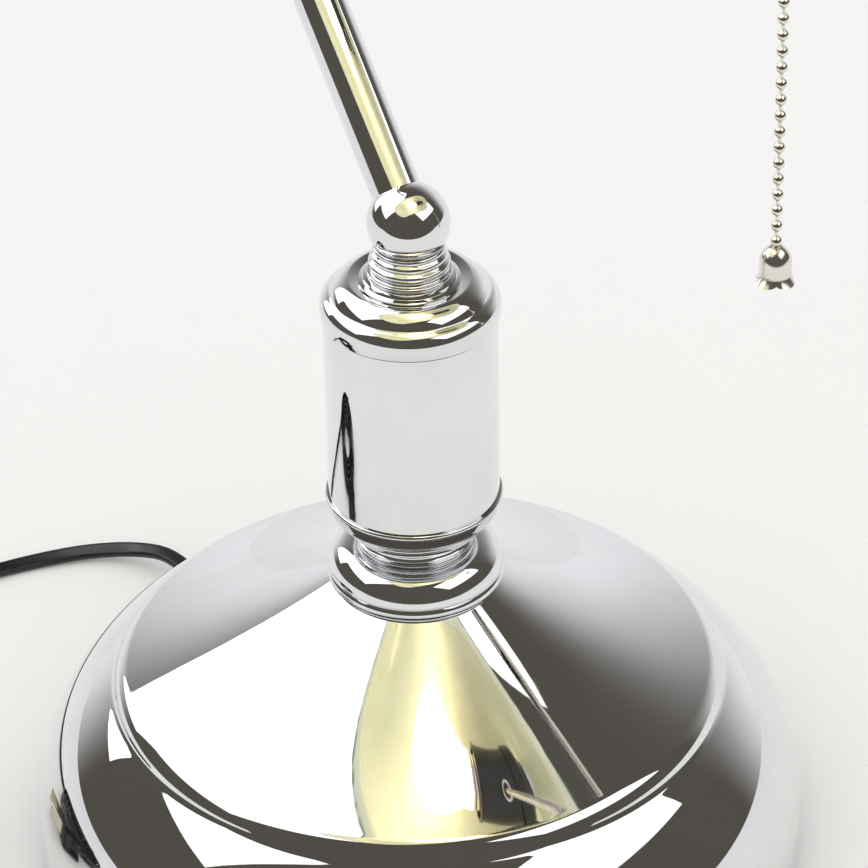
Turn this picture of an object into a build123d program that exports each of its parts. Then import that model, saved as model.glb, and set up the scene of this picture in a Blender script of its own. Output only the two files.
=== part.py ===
from build123d import *
import math
import os

os.makedirs("parts", exist_ok=True)

# Bankers lamp, in millimetres. The origin is the centre of the foot on the table, +Z is up,
# X runs along the shade, and the user sits on the -Y side.

# Driving dimensions: the round base
base_radius = 96.6
base_wall = 1.2
base_top = 80.8
base_top_radius = 20.5
ridge_radius = 74.0
ridge_height = 52.4
ridge_bead = 1.0
ridge_width = 1.8
trumpet_sag = 1.2
shoulder_radius = 47.3
shoulder_foot = 12.0
foot_height = 1.5
foot_opening = 91.0
weight_radius = 90.5
weight_thickness = 6.0

# Driving dimensions: the turned stem, as heights above the table
rod_radius = 5.0
rod_bore = 3.5
rod_top = 166.9
collar_radius = 21.7
collar_top = 91.4
flange_radius = 14.4
neck_waist = 13.2
neck_top = 96.2
cup_top = 106.0
lip_radius = 21.7
sleeve_radius = 20.9
sleeve_wall = 1.0
sleeve_foot = 104.7
sleeve_top = 158.0
cap_bottom = 155.8
cap_skirt_top = 158.9
cap_radius = 21.55
cap_top = 165.6
neck_lip_radius = 10.2
ball_height = 181.0
ball_radius = 9.9
ball_seat = 175.3

# Driving dimensions: the swan neck arm
arm_radius = 6.0
arm_bore = 5.0
arm_lean = 44.3
arm_straight = 124.0
arm_tail = 26.0
arm_end = 14.0
ferrule_length = 14.0
ferrule_overlap = 9.5

# Driving dimensions: the shade and its knuckle
shade_forward = 48.0
shade_length = 265.0
shade_width = 133.0
shade_height = 74.0
shade_mouth = 323.0
shade_wall = 3.5
rim_flare = 4.5
rim_height = 9.0
side_reach = 50.0
crown_edge = 4.0
gasket_radius = 13.0
gasket_thickness = 1.2
shade_cap_radius = 20.0
shade_cap_height = 4.3
knuckle_height = 415.0
knuckle_radius = 8.0
lug_thickness = 5.0
lug_gap = 0.4
nipple_radius = 4.8
screw_radius = 2.0
nipple_grip = 2.6

# Driving dimensions: lampholder, bulb and pull switch
holder_height = shade_mouth + 29.2
holder_mouth = 44.0
holder_back = 102.2
holder_radius = 17.5
bracket_thickness = 2.0
bracket_width = 20.0
bracket_drop_start = 60.0
bracket_slope = 0.36
chain_x = 71.0
bead_radius = 1.42
bead_pitch = 4.2
link_radius = 0.45
guide_bore = 2.3
bell_bottom = 166.9
bell_height = 9.4
bell_radius = 3.85
bell_skirt_radius = 4.95
bulb_radius = 28.0
bulb_tip = -34.0
bulb_foot = 38.0
cap_thread_radius = 13.0

# Driving dimensions: the mains cord, 1.8 m from the relief to the plug
cord_radius = 2.2
cord_exit_height = 7.2
relief_hole = 4.2
exit_turn = 1.0
relief_length = 22.0
coil_rest = 3.0
coil_pitch = 4.95
coil_centre = (-162.0, 110.0)
coil_outer_radius = 37.0
coil_half_turns = 9
coil_lead = 4.5
plug_lead = 16.0
tie_width = 5.0
tie_thickness = 0.6
plug_length = 20.0
plug_width = 24.0
plug_tail = 11.0
blade_spacing = 12.7
blade_length = 16.0


def upright_plane(x, y, z=0.0):
    """Plane facing the user through x, y, z: its own axes run along +X and +Z."""
    return Plane(origin=(x, y, z), x_dir=(1, 0, 0), z_dir=(0, -1, 0))


shade_plane = upright_plane(0, -shade_forward)
shade_axis = Axis((0, -shade_forward, 0), (0, 0, 1))
holder_plane = upright_plane(0, -shade_forward, holder_height)
holder_axis = Axis((0, -shade_forward, holder_height), (1, 0, 0))
chain_plane = upright_plane(chain_x, -shade_forward)
chain_axis = Axis((chain_x, -shade_forward, 0), (0, 0, 1))

# The direction in which the cord leaves the base, just beside the rear
exit_angle = math.radians(90 + exit_turn)
exit_direction = (math.cos(exit_angle), math.sin(exit_angle), 0)
exit_wall = base_radius


def exit_point(distance, height=cord_exit_height):
    """Point at that distance from the stem's axis, along the cord's way out."""
    return (distance * exit_direction[0], distance * exit_direction[1], height)


# Base shell: a spun steel trumpet with a beaded ridge, a rounded shoulder and a rolled foot
shoulder_centre = (base_radius - shoulder_radius, shoulder_foot)
shoulder_start_radius = ridge_radius + ridge_width


def shoulder_point(radius, wall=0.0):
    """Point of the round shoulder at that radius, on its outside or under its wall."""
    reach = shoulder_radius - wall
    return (radius, shoulder_foot + math.sqrt(reach**2 - (radius - shoulder_centre[0]) ** 2))


def trumpet_middle(lower):
    """Middle of the trumpet's slightly hollow slope, lowered by that much."""
    return (
        (base_top_radius + ridge_radius) / 2 - trumpet_sag,
        (base_top + ridge_height) / 2 - trumpet_sag - lower,
    )


with BuildPart() as base_shell:
    with BuildSketch(Plane.XZ):
        with BuildLine():
            hole = rod_radius + 0.2
            ridge_foot = shoulder_point(shoulder_start_radius)
            inner_ridge = (ridge_radius, ridge_height - base_wall * 1.4)
            inner_start = shoulder_point(shoulder_start_radius, base_wall)
            foot_corner = (base_radius - 0.5, foot_height + 1.6)
            inner_wall = base_radius - base_wall
            Line((hole, base_top), (base_top_radius, base_top))
            ThreePointArc((base_top_radius, base_top), trumpet_middle(0), (ridge_radius, ridge_height))
            ThreePointArc(
                (ridge_radius, ridge_height),
                (ridge_radius + ridge_width / 2 + 0.3, ridge_height + ridge_bead / 2),
                ridge_foot,
            )
            RadiusArc(ridge_foot, (base_radius, shoulder_foot), shoulder_radius)
            Line((base_radius, shoulder_foot), foot_corner)
            RadiusArc(foot_corner, (base_radius - 2.1, foot_height), 1.6)
            Polyline(
                (base_radius - 2.1, foot_height),
                (foot_opening, foot_height),
                (foot_opening, foot_height + base_wall),
                (inner_wall - 0.5, foot_height + base_wall),
                (inner_wall, shoulder_foot),
            )
            RadiusArc((inner_wall, shoulder_foot), inner_start, -(shoulder_radius - base_wall))
            Line(inner_start, inner_ridge)
            inner_top = (base_top_radius, base_top - base_wall * 1.13)
            ThreePointArc(inner_ridge, trumpet_middle(base_wall * 1.13), inner_top)
            Polyline(inner_top, (hole, inner_top[1]), (hole, base_top))
        make_face()
    revolve(axis=Axis.Z)
    with BuildSketch(Plane(origin=exit_point(exit_wall - 6), z_dir=exit_direction)):
        Circle(relief_hole)
    extrude(amount=9, mode=Mode.SUBTRACT)
base_shell.part.label = "base_shell"
export_step(base_shell.part, "parts/base_shell.step")

# Foot pad: a disc of felt glued under the rolled foot
with BuildPart() as foot_pad:
    with BuildSketch():
        Circle(base_radius - 2.6)
    extrude(amount=foot_height)
foot_pad.part.label = "foot_pad"
export_step(foot_pad.part, "parts/foot_pad.step")

# Base weight: a cast disc that the rod's nut pulls up against the inside of the shoulder
weight_top = shoulder_point(weight_radius, base_wall)[1] - 0.05
weight_bottom = weight_top - weight_thickness
with BuildPart() as base_weight:
    with BuildSketch(Plane.XY.offset(weight_bottom)):
        Circle(weight_radius)
    extrude(amount=weight_thickness)
    fillet(base_weight.edges().group_by(Axis.Z)[0], radius=1.5)
    with BuildSketch(Plane.XY.offset(weight_top)):
        Circle(16)
    extrude(amount=5, taper=12)
    with BuildSketch(Plane.XY.offset(weight_bottom)):
        Circle(rod_radius + 0.15)
    extrude(amount=weight_thickness + 5, mode=Mode.SUBTRACT)
base_weight.part.label = "base_weight"
export_step(base_weight.part, "parts/base_weight.step")

# Rod washer and nut, under the weight
washer_thickness = 1.2
nut_thickness = 5.0
with BuildPart() as rod_washer:
    with BuildSketch(Plane.XY.offset(weight_bottom - washer_thickness)):
        Circle(12)
        Circle(rod_radius + 0.1, mode=Mode.SUBTRACT)
    extrude(amount=washer_thickness)
rod_washer.part.label = "rod_washer"
export_step(rod_washer.part, "parts/rod_washer.step")

nut_bottom = weight_bottom - washer_thickness - nut_thickness
with BuildPart() as rod_nut:
    with BuildSketch(Plane.XY.offset(nut_bottom)):
        RegularPolygon(radius=8.5, side_count=6, major_radius=False)
    extrude(amount=nut_thickness)
    chamfer(rod_nut.faces().sort_by(Axis.Z)[0].edges(), length=0.7)
    Hole(rod_radius)
rod_nut.part.label = "rod_nut"
export_step(rod_nut.part, "parts/rod_nut.step")

# Stem rod: the hollow threaded rod that pulls the whole stem together and carries the wires
with BuildPart() as stem_rod:
    with BuildSketch(Plane.XY.offset(nut_bottom - 3)):
        Circle(rod_radius)
        Circle(rod_bore, mode=Mode.SUBTRACT)
    extrude(amount=rod_top - nut_bottom + 3)
stem_rod.part.label = "stem_rod"
export_step(stem_rod.part, "parts/stem_rod.step")

# Collar: a domed ring above a small bead, standing on the base
bore = rod_radius + 0.15
dome_radius = collar_radius - 0.1 - flange_radius
with BuildPart() as collar:
    with BuildSketch(Plane.XZ):
        with BuildLine():
            Line((bore, base_top), (collar_radius - 1.2, base_top))
            ThreePointArc(
                (collar_radius - 1.2, base_top),
                (collar_radius + 0.05, base_top + 1.6),
                (collar_radius - 0.6, base_top + 3.1),
            )
            Line((collar_radius - 0.6, base_top + 3.1), (collar_radius - 0.1, base_top + 3.5))
            ThreePointArc(
                (collar_radius - 0.1, base_top + 3.5),
                (flange_radius + dome_radius * 0.74, collar_top - dome_radius * 0.3),
                (flange_radius, collar_top),
            )
            Line((flange_radius, collar_top), (bore, collar_top))
            Line((bore, collar_top), (bore, base_top))
        make_face()
    revolve(axis=Axis.Z)
collar.part.label = "collar"
export_step(collar.part, "parts/collar.step")

# Lower neck: a flange, a waist and a flare up to the cup
with BuildPart() as lower_neck:
    with BuildSketch(Plane.XZ):
        with BuildLine():
            Line((bore, collar_top), (flange_radius - 0.3, collar_top))
            ThreePointArc(
                (flange_radius - 0.3, collar_top),
                (flange_radius, collar_top + 0.6),
                (flange_radius - 0.4, collar_top + 1.2),
            )
            ThreePointArc(
                (flange_radius - 0.4, collar_top + 1.2),
                (neck_waist, collar_top + 2.2),
                (flange_radius + 0.6, neck_top - 0.9),
            )
            Line((flange_radius + 0.6, neck_top - 0.9), (flange_radius + 0.6, neck_top))
            Line((flange_radius + 0.6, neck_top), (bore, neck_top))
            Line((bore, neck_top), (bore, collar_top))
        make_face()
    revolve(axis=Axis.Z)
lower_neck.part.label = "lower_neck"
export_step(lower_neck.part, "parts/lower_neck.step")

# Lower cup: two stepped rings, a short skirt and a rolled lip that the sleeve stands in
with BuildPart() as lower_cup:
    with BuildSketch(Plane.XZ):
        with BuildLine():
            Polyline((bore, neck_top), (16.2, neck_top), (16.6, neck_top + 0.4), (16.6, neck_top + 1.5))
            Line((16.6, neck_top + 1.5), (17.4, neck_top + 1.8))
            ThreePointArc((17.4, neck_top + 1.8), (17.9, neck_top + 2.5), (17.6, neck_top + 3.2))
            ThreePointArc(
                (17.6, neck_top + 3.2),
                (lip_radius - 2.0, neck_top + 4.4),
                (lip_radius - 1.0, neck_top + 6.2),
            )
            Line((lip_radius - 1.0, neck_top + 6.2), (lip_radius - 0.6, cup_top - 1.5))
            ThreePointArc(
                (lip_radius - 0.6, cup_top - 1.5),
                (lip_radius, cup_top - 0.7),
                (lip_radius - 0.4, cup_top),
            )
            Polyline(
                (lip_radius - 0.4, cup_top),
                (sleeve_radius + 0.05, cup_top),
                (sleeve_radius + 0.05, sleeve_foot),
                (bore, sleeve_foot),
                (bore, neck_top),
            )
        make_face()
    revolve(axis=Axis.Z)
lower_cup.part.label = "lower_cup"
export_step(lower_cup.part, "parts/lower_cup.step")

# Sleeve: the plain bright tube of the stem
with BuildPart() as sleeve:
    with BuildSketch(Plane.XY.offset(sleeve_foot)):
        Circle(sleeve_radius)
        Circle(sleeve_radius - sleeve_wall, mode=Mode.SUBTRACT)
    extrude(amount=sleeve_top - sleeve_foot)
sleeve.part.label = "sleeve"
export_step(sleeve.part, "parts/sleeve.step")

# Top cap: a skirt over the sleeve, a bead shoulder, a low dome and a hollow flare to the neck
shoulder_bead = (19.3, cap_skirt_top + 3.4)
dome_foot = (18.9, cap_skirt_top + 3.7)
dome_crest = (14.6, cap_top + 0.5)
flare_end = (12.2, cap_top)
with BuildPart() as top_cap:
    with BuildSketch(Plane.XZ):
        with BuildLine():
            Line((sleeve_radius + 0.1, cap_bottom), (cap_radius - 0.15, cap_bottom))
            Line((cap_radius - 0.15, cap_bottom), (cap_radius, cap_bottom + 0.3))
            Line((cap_radius, cap_bottom + 0.3), (cap_radius, cap_skirt_top))
            ThreePointArc((cap_radius, cap_skirt_top), (20.95, cap_skirt_top + 2.1), shoulder_bead)
            Line(shoulder_bead, dome_foot)
            ThreePointArc(dome_foot, (17.2, cap_top - 0.75), dome_crest)
            ThreePointArc(dome_crest, (13.2, cap_top + 0.25), flare_end)
            Polyline(
                flare_end,
                (bore, cap_top),
                (bore, cap_top - 2.5),
                (17.0, cap_top - 4.5),
                (17.0, sleeve_top),
                (sleeve_radius + 0.1, sleeve_top),
                (sleeve_radius + 0.1, cap_bottom),
            )
        make_face()
    revolve(axis=Axis.Z)
top_cap.part.label = "top_cap"
export_step(top_cap.part, "parts/top_cap.step")

# Upper neck: stacked rings, a sharp lip and a grooved throat that the ball turns on
stud_head_height = 169.0
with BuildPart() as upper_neck:
    with BuildSketch(Plane.XZ):
        with BuildLine():
            Polyline((bore, cap_top), (12.0, cap_top), (12.1, cap_top + 0.5), (11.2, cap_top + 0.8))
            Line((11.2, cap_top + 0.8), (11.0, cap_top + 1.5))
            Line((11.0, cap_top + 1.5), (neck_lip_radius - 0.2, cap_top + 1.8))
            ThreePointArc(
                (neck_lip_radius - 0.2, cap_top + 1.8),
                (neck_lip_radius + 0.05, cap_top + 2.4),
                (neck_lip_radius - 0.3, cap_top + 2.9),
            )
            ThreePointArc((neck_lip_radius - 0.3, cap_top + 2.9), (8.95, 169.3), (9.5, 170.1))
            ThreePointArc((9.5, 170.1), (9.75, 170.8), (9.2, 171.5))
            Line((9.2, 171.5), (8.75, 171.9))
            ThreePointArc((8.75, 171.9), (9.15, 172.7), (8.7, 173.5))
            Line((8.7, 173.5), (8.3, 173.9))
            ThreePointArc((8.3, 173.9), (8.65, 174.5), (8.3, ball_seat - 0.1))
            Polyline(
                (8.3, ball_seat - 0.1),
                (8.2, ball_seat - 0.1),
                (6.4, ball_seat - 2.4),
                (4.0, ball_seat - 4.3),
                (3.4, ball_seat - 4.3),
                (3.4, stud_head_height + 0.2),
                (bore, stud_head_height + 0.2),
                (bore, cap_top),
            )
        make_face()
    revolve(axis=Axis.Z)
upper_neck.part.label = "upper_neck"
export_step(upper_neck.part, "parts/upper_neck.step")

# Swivel ball: bored for the arm, on a hollow stud whose head turns inside the neck
lean = math.radians(arm_lean)
arm_direction = (0, math.sin(lean), math.cos(lean))


def along_arm(distance):
    """Point on the arm's straight line at that distance from the ball's centre."""
    return (0, distance * arm_direction[1], ball_height + distance * arm_direction[2])


arm_seat = 3.0
with BuildPart(Plane.XY.offset(ball_height)) as swivel_ball:
    Sphere(radius=ball_radius)
    with BuildSketch(Plane(origin=along_arm(arm_seat), z_dir=arm_direction)):
        Circle(arm_radius + 0.12)
    extrude(amount=ball_radius, mode=Mode.SUBTRACT)
    with BuildSketch(Plane.XY.offset(ball_height - ball_radius)):
        Circle(3.0)
    extrude(amount=ball_radius - 4, mode=Mode.SUBTRACT)
swivel_ball.part.label = "swivel_ball"
export_step(swivel_ball.part, "parts/swivel_ball.step")

stud_top = ball_height - 4.0
with BuildPart() as swivel_stud:
    with BuildSketch(Plane.XY.offset(stud_head_height - 1.4)):
        Circle(4.5)
    extrude(amount=1.4)
    with BuildSketch(Plane.XY.offset(stud_head_height)):
        Circle(3.0)
    extrude(amount=stud_top - stud_head_height)
    with BuildSketch(Plane.XY.offset(stud_head_height - 1.4)):
        Circle(1.9)
    extrude(amount=stud_top - stud_head_height + 1.4, mode=Mode.SUBTRACT)
swivel_stud.part.label = "swivel_stud"
export_step(swivel_stud.part, "parts/swivel_stud.step")

# Arm tube: straight up from the ball, one large bend, and a short straight end for the knuckle
bend_start = (arm_straight * math.sin(lean), ball_height + arm_straight * math.cos(lean))
to_knuckle = (-shade_forward - bend_start[0], knuckle_height - bend_start[1])
inward = (-math.cos(lean), math.sin(lean))
bend_radius = (to_knuckle[0] ** 2 + to_knuckle[1] ** 2 - arm_tail**2) / (
    2 * (to_knuckle[0] * inward[0] + to_knuckle[1] * inward[1])
)
bend_centre = (bend_start[0] + bend_radius * inward[0], bend_start[1] + bend_radius * inward[1])
bend_end_angle = math.atan2(knuckle_height - bend_centre[1], -shade_forward - bend_centre[0]) - math.atan2(
    arm_tail, bend_radius
)
bend_end = (
    bend_centre[0] + bend_radius * math.cos(bend_end_angle),
    bend_centre[1] + bend_radius * math.sin(bend_end_angle),
)
tail_direction = (0, -math.sin(bend_end_angle), math.cos(bend_end_angle))
pivot = (0, -shade_forward, knuckle_height)


def before_pivot(distance):
    """Point on the arm's straight end at that distance before the knuckle's pivot."""
    return (0, pivot[1] - distance * tail_direction[1], pivot[2] - distance * tail_direction[2])


with BuildPart() as arm_tube:
    with BuildLine(Plane.YZ) as arm_path:
        Line(along_arm(arm_seat)[1:], bend_start)
        TangentArc(bend_start, bend_end, tangent=arm_direction[1:])
        Line(bend_end, before_pivot(arm_end)[1:])
    with BuildSketch(Plane(origin=arm_path.line @ 0, z_dir=arm_direction)):
        Circle(arm_radius)
    sweep(path=arm_path.line)
    with BuildSketch(Plane(origin=arm_path.line @ 0, z_dir=arm_direction)):
        Circle(arm_bore)
    sweep(path=arm_path.line, mode=Mode.SUBTRACT)
arm_tube.part.label = "arm_tube"
export_step(arm_tube.part, "parts/arm_tube.step")
arm_crown = bend_centre[1] + bend_radius + arm_radius
print("bend radius", round(bend_radius, 1), "highest point", round(arm_crown, 1))

# Arm knuckle: a ferrule over the arm's end with one round lug beside the pivot
ferrule_plane = Plane(origin=before_pivot(arm_end + ferrule_overlap), x_dir=(1, 0, 0), z_dir=tail_direction)
lug_plane = Plane(origin=(-lug_gap / 2, pivot[1], pivot[2]), x_dir=(0, 1, 0), z_dir=(-1, 0, 0))
bridge_plane = Plane(origin=lug_plane.origin, x_dir=tail_direction, z_dir=(-1, 0, 0))
bridge_length = arm_end + ferrule_overlap - ferrule_length + 1
with BuildPart() as arm_knuckle:
    with BuildSketch(ferrule_plane):
        Circle(arm_radius + 1.5)
    extrude(amount=ferrule_length)
    fillet(arm_knuckle.edges().filter_by(GeomType.CIRCLE), radius=0.8)
    with BuildSketch(lug_plane):
        Circle(knuckle_radius)
    extrude(amount=lug_thickness)
    with BuildSketch(bridge_plane):
        with Locations((-bridge_length / 2, 0)):
            Rectangle(bridge_length, 13)
    extrude(amount=lug_thickness)
    with BuildSketch(ferrule_plane):
        Circle(arm_radius + 0.05)
    extrude(amount=ferrule_overlap, mode=Mode.SUBTRACT)
    with BuildSketch(ferrule_plane.offset(ferrule_overlap)):
        Circle(3.0)
    extrude(amount=ferrule_length - ferrule_overlap - 1, mode=Mode.SUBTRACT)
    with BuildSketch(lug_plane):
        Circle(screw_radius)
    extrude(amount=lug_thickness, mode=Mode.SUBTRACT)
arm_knuckle.part.label = "arm_knuckle"
export_step(arm_knuckle.part, "parts/arm_knuckle.step")

# Heights of what is stacked on the shade
glass_top = shade_mouth + shade_height
cap_seat = glass_top + gasket_thickness
cap_crown = cap_seat + shade_cap_height
under_glass = glass_top - shade_wall
bracket_top = under_glass - gasket_thickness
bracket_under = bracket_top - bracket_thickness

# Shade knuckle: a round foot for the nipple, with the lug that turns beside the arm's lug
foot_top = knuckle_height - knuckle_radius - 1.0
screw_plane = Plane(origin=pivot, x_dir=(0, 1, 0), z_dir=(1, 0, 0))
with BuildPart() as shade_knuckle:
    with BuildSketch(shade_plane):
        with BuildLine():
            Polyline(
                (0, cap_crown),
                (7.5, cap_crown),
                (7.5, cap_crown + 1.0),
                (6.4, cap_crown + 1.6),
                (6.4, foot_top),
                (0, foot_top),
                close=True,
            )
        make_face()
    revolve(axis=shade_axis)
    with BuildSketch(screw_plane.offset(lug_gap / 2)):
        Circle(knuckle_radius)
        with Locations((0, -(knuckle_radius + 1.5) / 2)):
            Rectangle(12, knuckle_radius + 1.5)
    extrude(amount=lug_thickness)
    with BuildSketch(Plane.XY.offset(cap_crown)):
        with Locations((0, -shade_forward)):
            Circle(nipple_radius)
    extrude(amount=nipple_grip, mode=Mode.SUBTRACT)
    with BuildSketch(screw_plane):
        Circle(screw_radius + 0.05)
    extrude(amount=lug_thickness + lug_gap, mode=Mode.SUBTRACT)
shade_knuckle.part.label = "shade_knuckle"
export_step(shade_knuckle.part, "parts/shade_knuckle.step")

# Knuckle screw and its thumb nut, across both lugs
lug_outside = lug_gap / 2 + lug_thickness
with BuildPart() as knuckle_screw:
    with BuildSketch(screw_plane.offset(-lug_outside - 2.6)):
        Circle(4.0)
    extrude(amount=2.6)
    fillet(knuckle_screw.faces().sort_by(Axis.X)[0].edges(), radius=1.2)
    with BuildSketch(screw_plane.offset(-lug_outside)):
        Circle(screw_radius)
    extrude(amount=2 * lug_outside + 5.5)
    with BuildSketch(screw_plane.offset(-lug_outside - 2.6)):
        Rectangle(9, 1.0)
    extrude(amount=1.0, mode=Mode.SUBTRACT)
knuckle_screw.part.label = "knuckle_screw"
export_step(knuckle_screw.part, "parts/knuckle_screw.step")

with BuildPart() as thumb_nut:
    with BuildSketch(screw_plane.offset(lug_outside)):
        Circle(6.2)
        with PolarLocations(6.6, 12):
            Circle(1.0, mode=Mode.SUBTRACT)
    extrude(amount=5.0)
    chamfer(thumb_nut.faces().sort_by(Axis.X)[-1].edges(), length=0.4)
    with BuildSketch(screw_plane.offset(lug_outside)):
        Circle(screw_radius)
    extrude(amount=5.0, mode=Mode.SUBTRACT)
thumb_nut.part.label = "thumb_nut"
export_step(thumb_nut.part, "parts/thumb_nut.step")

# Shade cap: a shallow turned dish on the glass, over a rubber gasket
with BuildPart() as shade_cap:
    with BuildSketch(shade_plane):
        with BuildLine():
            Line((nipple_radius + 0.1, cap_seat), (gasket_radius + 0.4, cap_seat))
            Line((gasket_radius + 0.4, cap_seat), (shade_cap_radius - 0.8, glass_top + 0.35))
            Line((shade_cap_radius - 0.8, glass_top + 0.35), (shade_cap_radius, glass_top + 0.6))
            ThreePointArc(
                (shade_cap_radius, glass_top + 0.6),
                (shade_cap_radius * 0.8, glass_top + 3.0),
                (8.0, cap_crown),
            )
            Line((8.0, cap_crown), (nipple_radius + 0.1, cap_crown))
            Line((nipple_radius + 0.1, cap_crown), (nipple_radius + 0.1, cap_seat))
        make_face()
    revolve(axis=shade_axis)
shade_cap.part.label = "shade_cap"
export_step(shade_cap.part, "parts/shade_cap.step")

with BuildPart() as shade_gaskets:
    for gasket_bottom in (glass_top, bracket_top):
        with BuildSketch(Plane.XY.offset(gasket_bottom)):
            with Locations((0, -shade_forward)):
                Circle(gasket_radius)
                Circle(nipple_radius + 0.2, mode=Mode.SUBTRACT)
        extrude(amount=gasket_thickness)
shade_gaskets.part.label = "shade_gaskets"
export_step(shade_gaskets.part, "parts/shade_gaskets.step")

# Shade glass: one cased glass shell. Its wall profile runs round a rounded rectangle, with the
# crown flat between the corner axes, elliptical sides and a rolled rim that flares outwards.
corner_radius = side_reach + rim_flare
half_flat_x = shade_length / 2 - corner_radius
half_flat_y = shade_width / 2 - corner_radius
crown_radius = shade_height - rim_height


def glass_wall(sketch_plane):
    """Closed profile of the glass wall, from the crown's edge out and down to the rim."""
    inner_reach = side_reach - shade_wall
    with BuildSketch(sketch_plane) as wall:
        with BuildLine():
            Line((0, glass_top), (crown_edge, glass_top))
            EllipticalCenterArc(
                (crown_edge, shade_mouth + rim_height),
                side_reach - crown_edge,
                crown_radius,
                start_angle=90,
                arc_size=-90,
            )
            ThreePointArc(
                (side_reach, shade_mouth + rim_height),
                (side_reach + 1.1, shade_mouth + rim_height * 0.5),
                (corner_radius - 1.0, shade_mouth + 1.6),
            )
            ThreePointArc(
                (corner_radius - 1.0, shade_mouth + 1.6),
                (corner_radius, shade_mouth + 0.7),
                (corner_radius - 0.9, shade_mouth),
            )
            Line((corner_radius - 0.9, shade_mouth), (corner_radius - 3.0, shade_mouth))
            ThreePointArc(
                (corner_radius - 3.0, shade_mouth),
                (inner_reach + 0.7, shade_mouth + rim_height * 0.5),
                (inner_reach, shade_mouth + rim_height),
            )
            EllipticalCenterArc(
                (crown_edge, shade_mouth + rim_height),
                inner_reach - crown_edge,
                crown_radius - shade_wall,
                start_angle=0,
                arc_size=90,
            )
            Polyline((crown_edge, under_glass), (0, under_glass), (0, glass_top))
        make_face()
    return wall


with BuildPart() as shade_glass:
    for quarter in range(4):
        outwards = Vector(1, 0, 0).rotate(Axis.Z, -90 * quarter)
        onwards = Vector(0, -1, 0).rotate(Axis.Z, -90 * quarter)
        corner = Vector(
            half_flat_x * (outwards.X + onwards.X), half_flat_y * (outwards.Y + onwards.Y) - shade_forward, 0
        )
        side_start = Vector(
            half_flat_x * (outwards.X - onwards.X), half_flat_y * (outwards.Y - onwards.Y) - shade_forward, 0
        )
        side_wall = glass_wall(Plane(origin=side_start, x_dir=outwards, z_dir=onwards))
        extrude(side_wall.sketch, amount=(corner - side_start).length)
        corner_wall = glass_wall(Plane(origin=corner, x_dir=outwards, z_dir=onwards))
        revolve(corner_wall.sketch, axis=Axis(corner, (0, 0, -1)), revolution_arc=90)
    with BuildSketch(Plane.XY.offset(under_glass)):
        with Locations((0, -shade_forward)):
            Rectangle(2 * half_flat_x, 2 * half_flat_y)
    extrude(amount=shade_wall)
    with BuildSketch(Plane.XY.offset(under_glass - 1)):
        with Locations((0, -shade_forward)):
            Circle(nipple_radius + 0.7)
    extrude(amount=shade_wall + 2, mode=Mode.SUBTRACT)
shade_glass.part.label = "shade_glass"
export_step(shade_glass.part, "parts/shade_glass.step")

# Shade nipple: the hollow threaded tube through knuckle, cap, gaskets, glass and bracket
locknut_thickness = 3.6
nipple_bottom = bracket_under - locknut_thickness - 1.0
with BuildPart() as shade_nipple:
    with BuildSketch(Plane.XY.offset(nipple_bottom)):
        with Locations((0, -shade_forward)):
            Circle(nipple_radius)
            Circle(3.2, mode=Mode.SUBTRACT)
    extrude(amount=cap_crown + nipple_grip - nipple_bottom)
shade_nipple.part.label = "shade_nipple"
export_step(shade_nipple.part, "parts/shade_nipple.step")

with BuildPart() as shade_locknut:
    with BuildSketch(Plane.XY.offset(bracket_under - locknut_thickness)):
        with Locations((0, -shade_forward)):
            RegularPolygon(radius=8.0, side_count=6, major_radius=False)
            Circle(nipple_radius, mode=Mode.SUBTRACT)
    extrude(amount=locknut_thickness)
shade_locknut.part.label = "shade_locknut"
export_step(shade_locknut.part, "parts/shade_locknut.step")

# Socket bracket: a strap from the nipple, sloped under the glass and bent down behind the lampholder
bend_inside = 2.0
bracket_drop = holder_height - bracket_width / 2
slope_angle = math.atan(bracket_slope)
inner_drop_start = bracket_drop_start - bracket_thickness * math.tan(slope_angle / 2)
outer_corner = bracket_top - bracket_slope * (holder_back + bracket_thickness - bracket_drop_start)
inner_corner = bracket_under - bracket_slope * (holder_back - inner_drop_start)
with BuildPart() as socket_bracket:
    with BuildSketch(shade_plane):
        with BuildLine() as strap_line:
            FilletPolyline(
                (-12, bracket_top),
                (bracket_drop_start, bracket_top),
                (holder_back + bracket_thickness, outer_corner),
                (holder_back + bracket_thickness, bracket_drop),
                radius=bend_inside + bracket_thickness,
            )
            FilletPolyline(
                (-12, bracket_under),
                (inner_drop_start, bracket_under),
                (holder_back, inner_corner),
                (holder_back, bracket_drop),
                radius=bend_inside,
            )
            Line((-12, bracket_top), (-12, bracket_under))
            Line((holder_back, bracket_drop), (holder_back + bracket_thickness, bracket_drop))
        make_face()
    extrude(amount=bracket_width / 2, both=True)
    fillet(socket_bracket.edges().filter_by(Axis.Z).sort_by(Axis.X)[:2], radius=6)
    fillet(socket_bracket.edges().filter_by(Axis.X).group_by(Axis.Z)[0], radius=9)
    with BuildSketch(Plane.XY.offset(bracket_under)):
        with Locations((0, -shade_forward)):
            Circle(nipple_radius + 0.2)
    extrude(amount=bracket_thickness, mode=Mode.SUBTRACT)
    with BuildSketch(Plane(origin=(holder_back, -shade_forward, holder_height), z_dir=(1, 0, 0))):
        Circle(nipple_radius + 0.2)
    extrude(amount=bracket_thickness, mode=Mode.SUBTRACT)
socket_bracket.part.label = "socket_bracket"
export_step(socket_bracket.part, "parts/socket_bracket.step")

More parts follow.
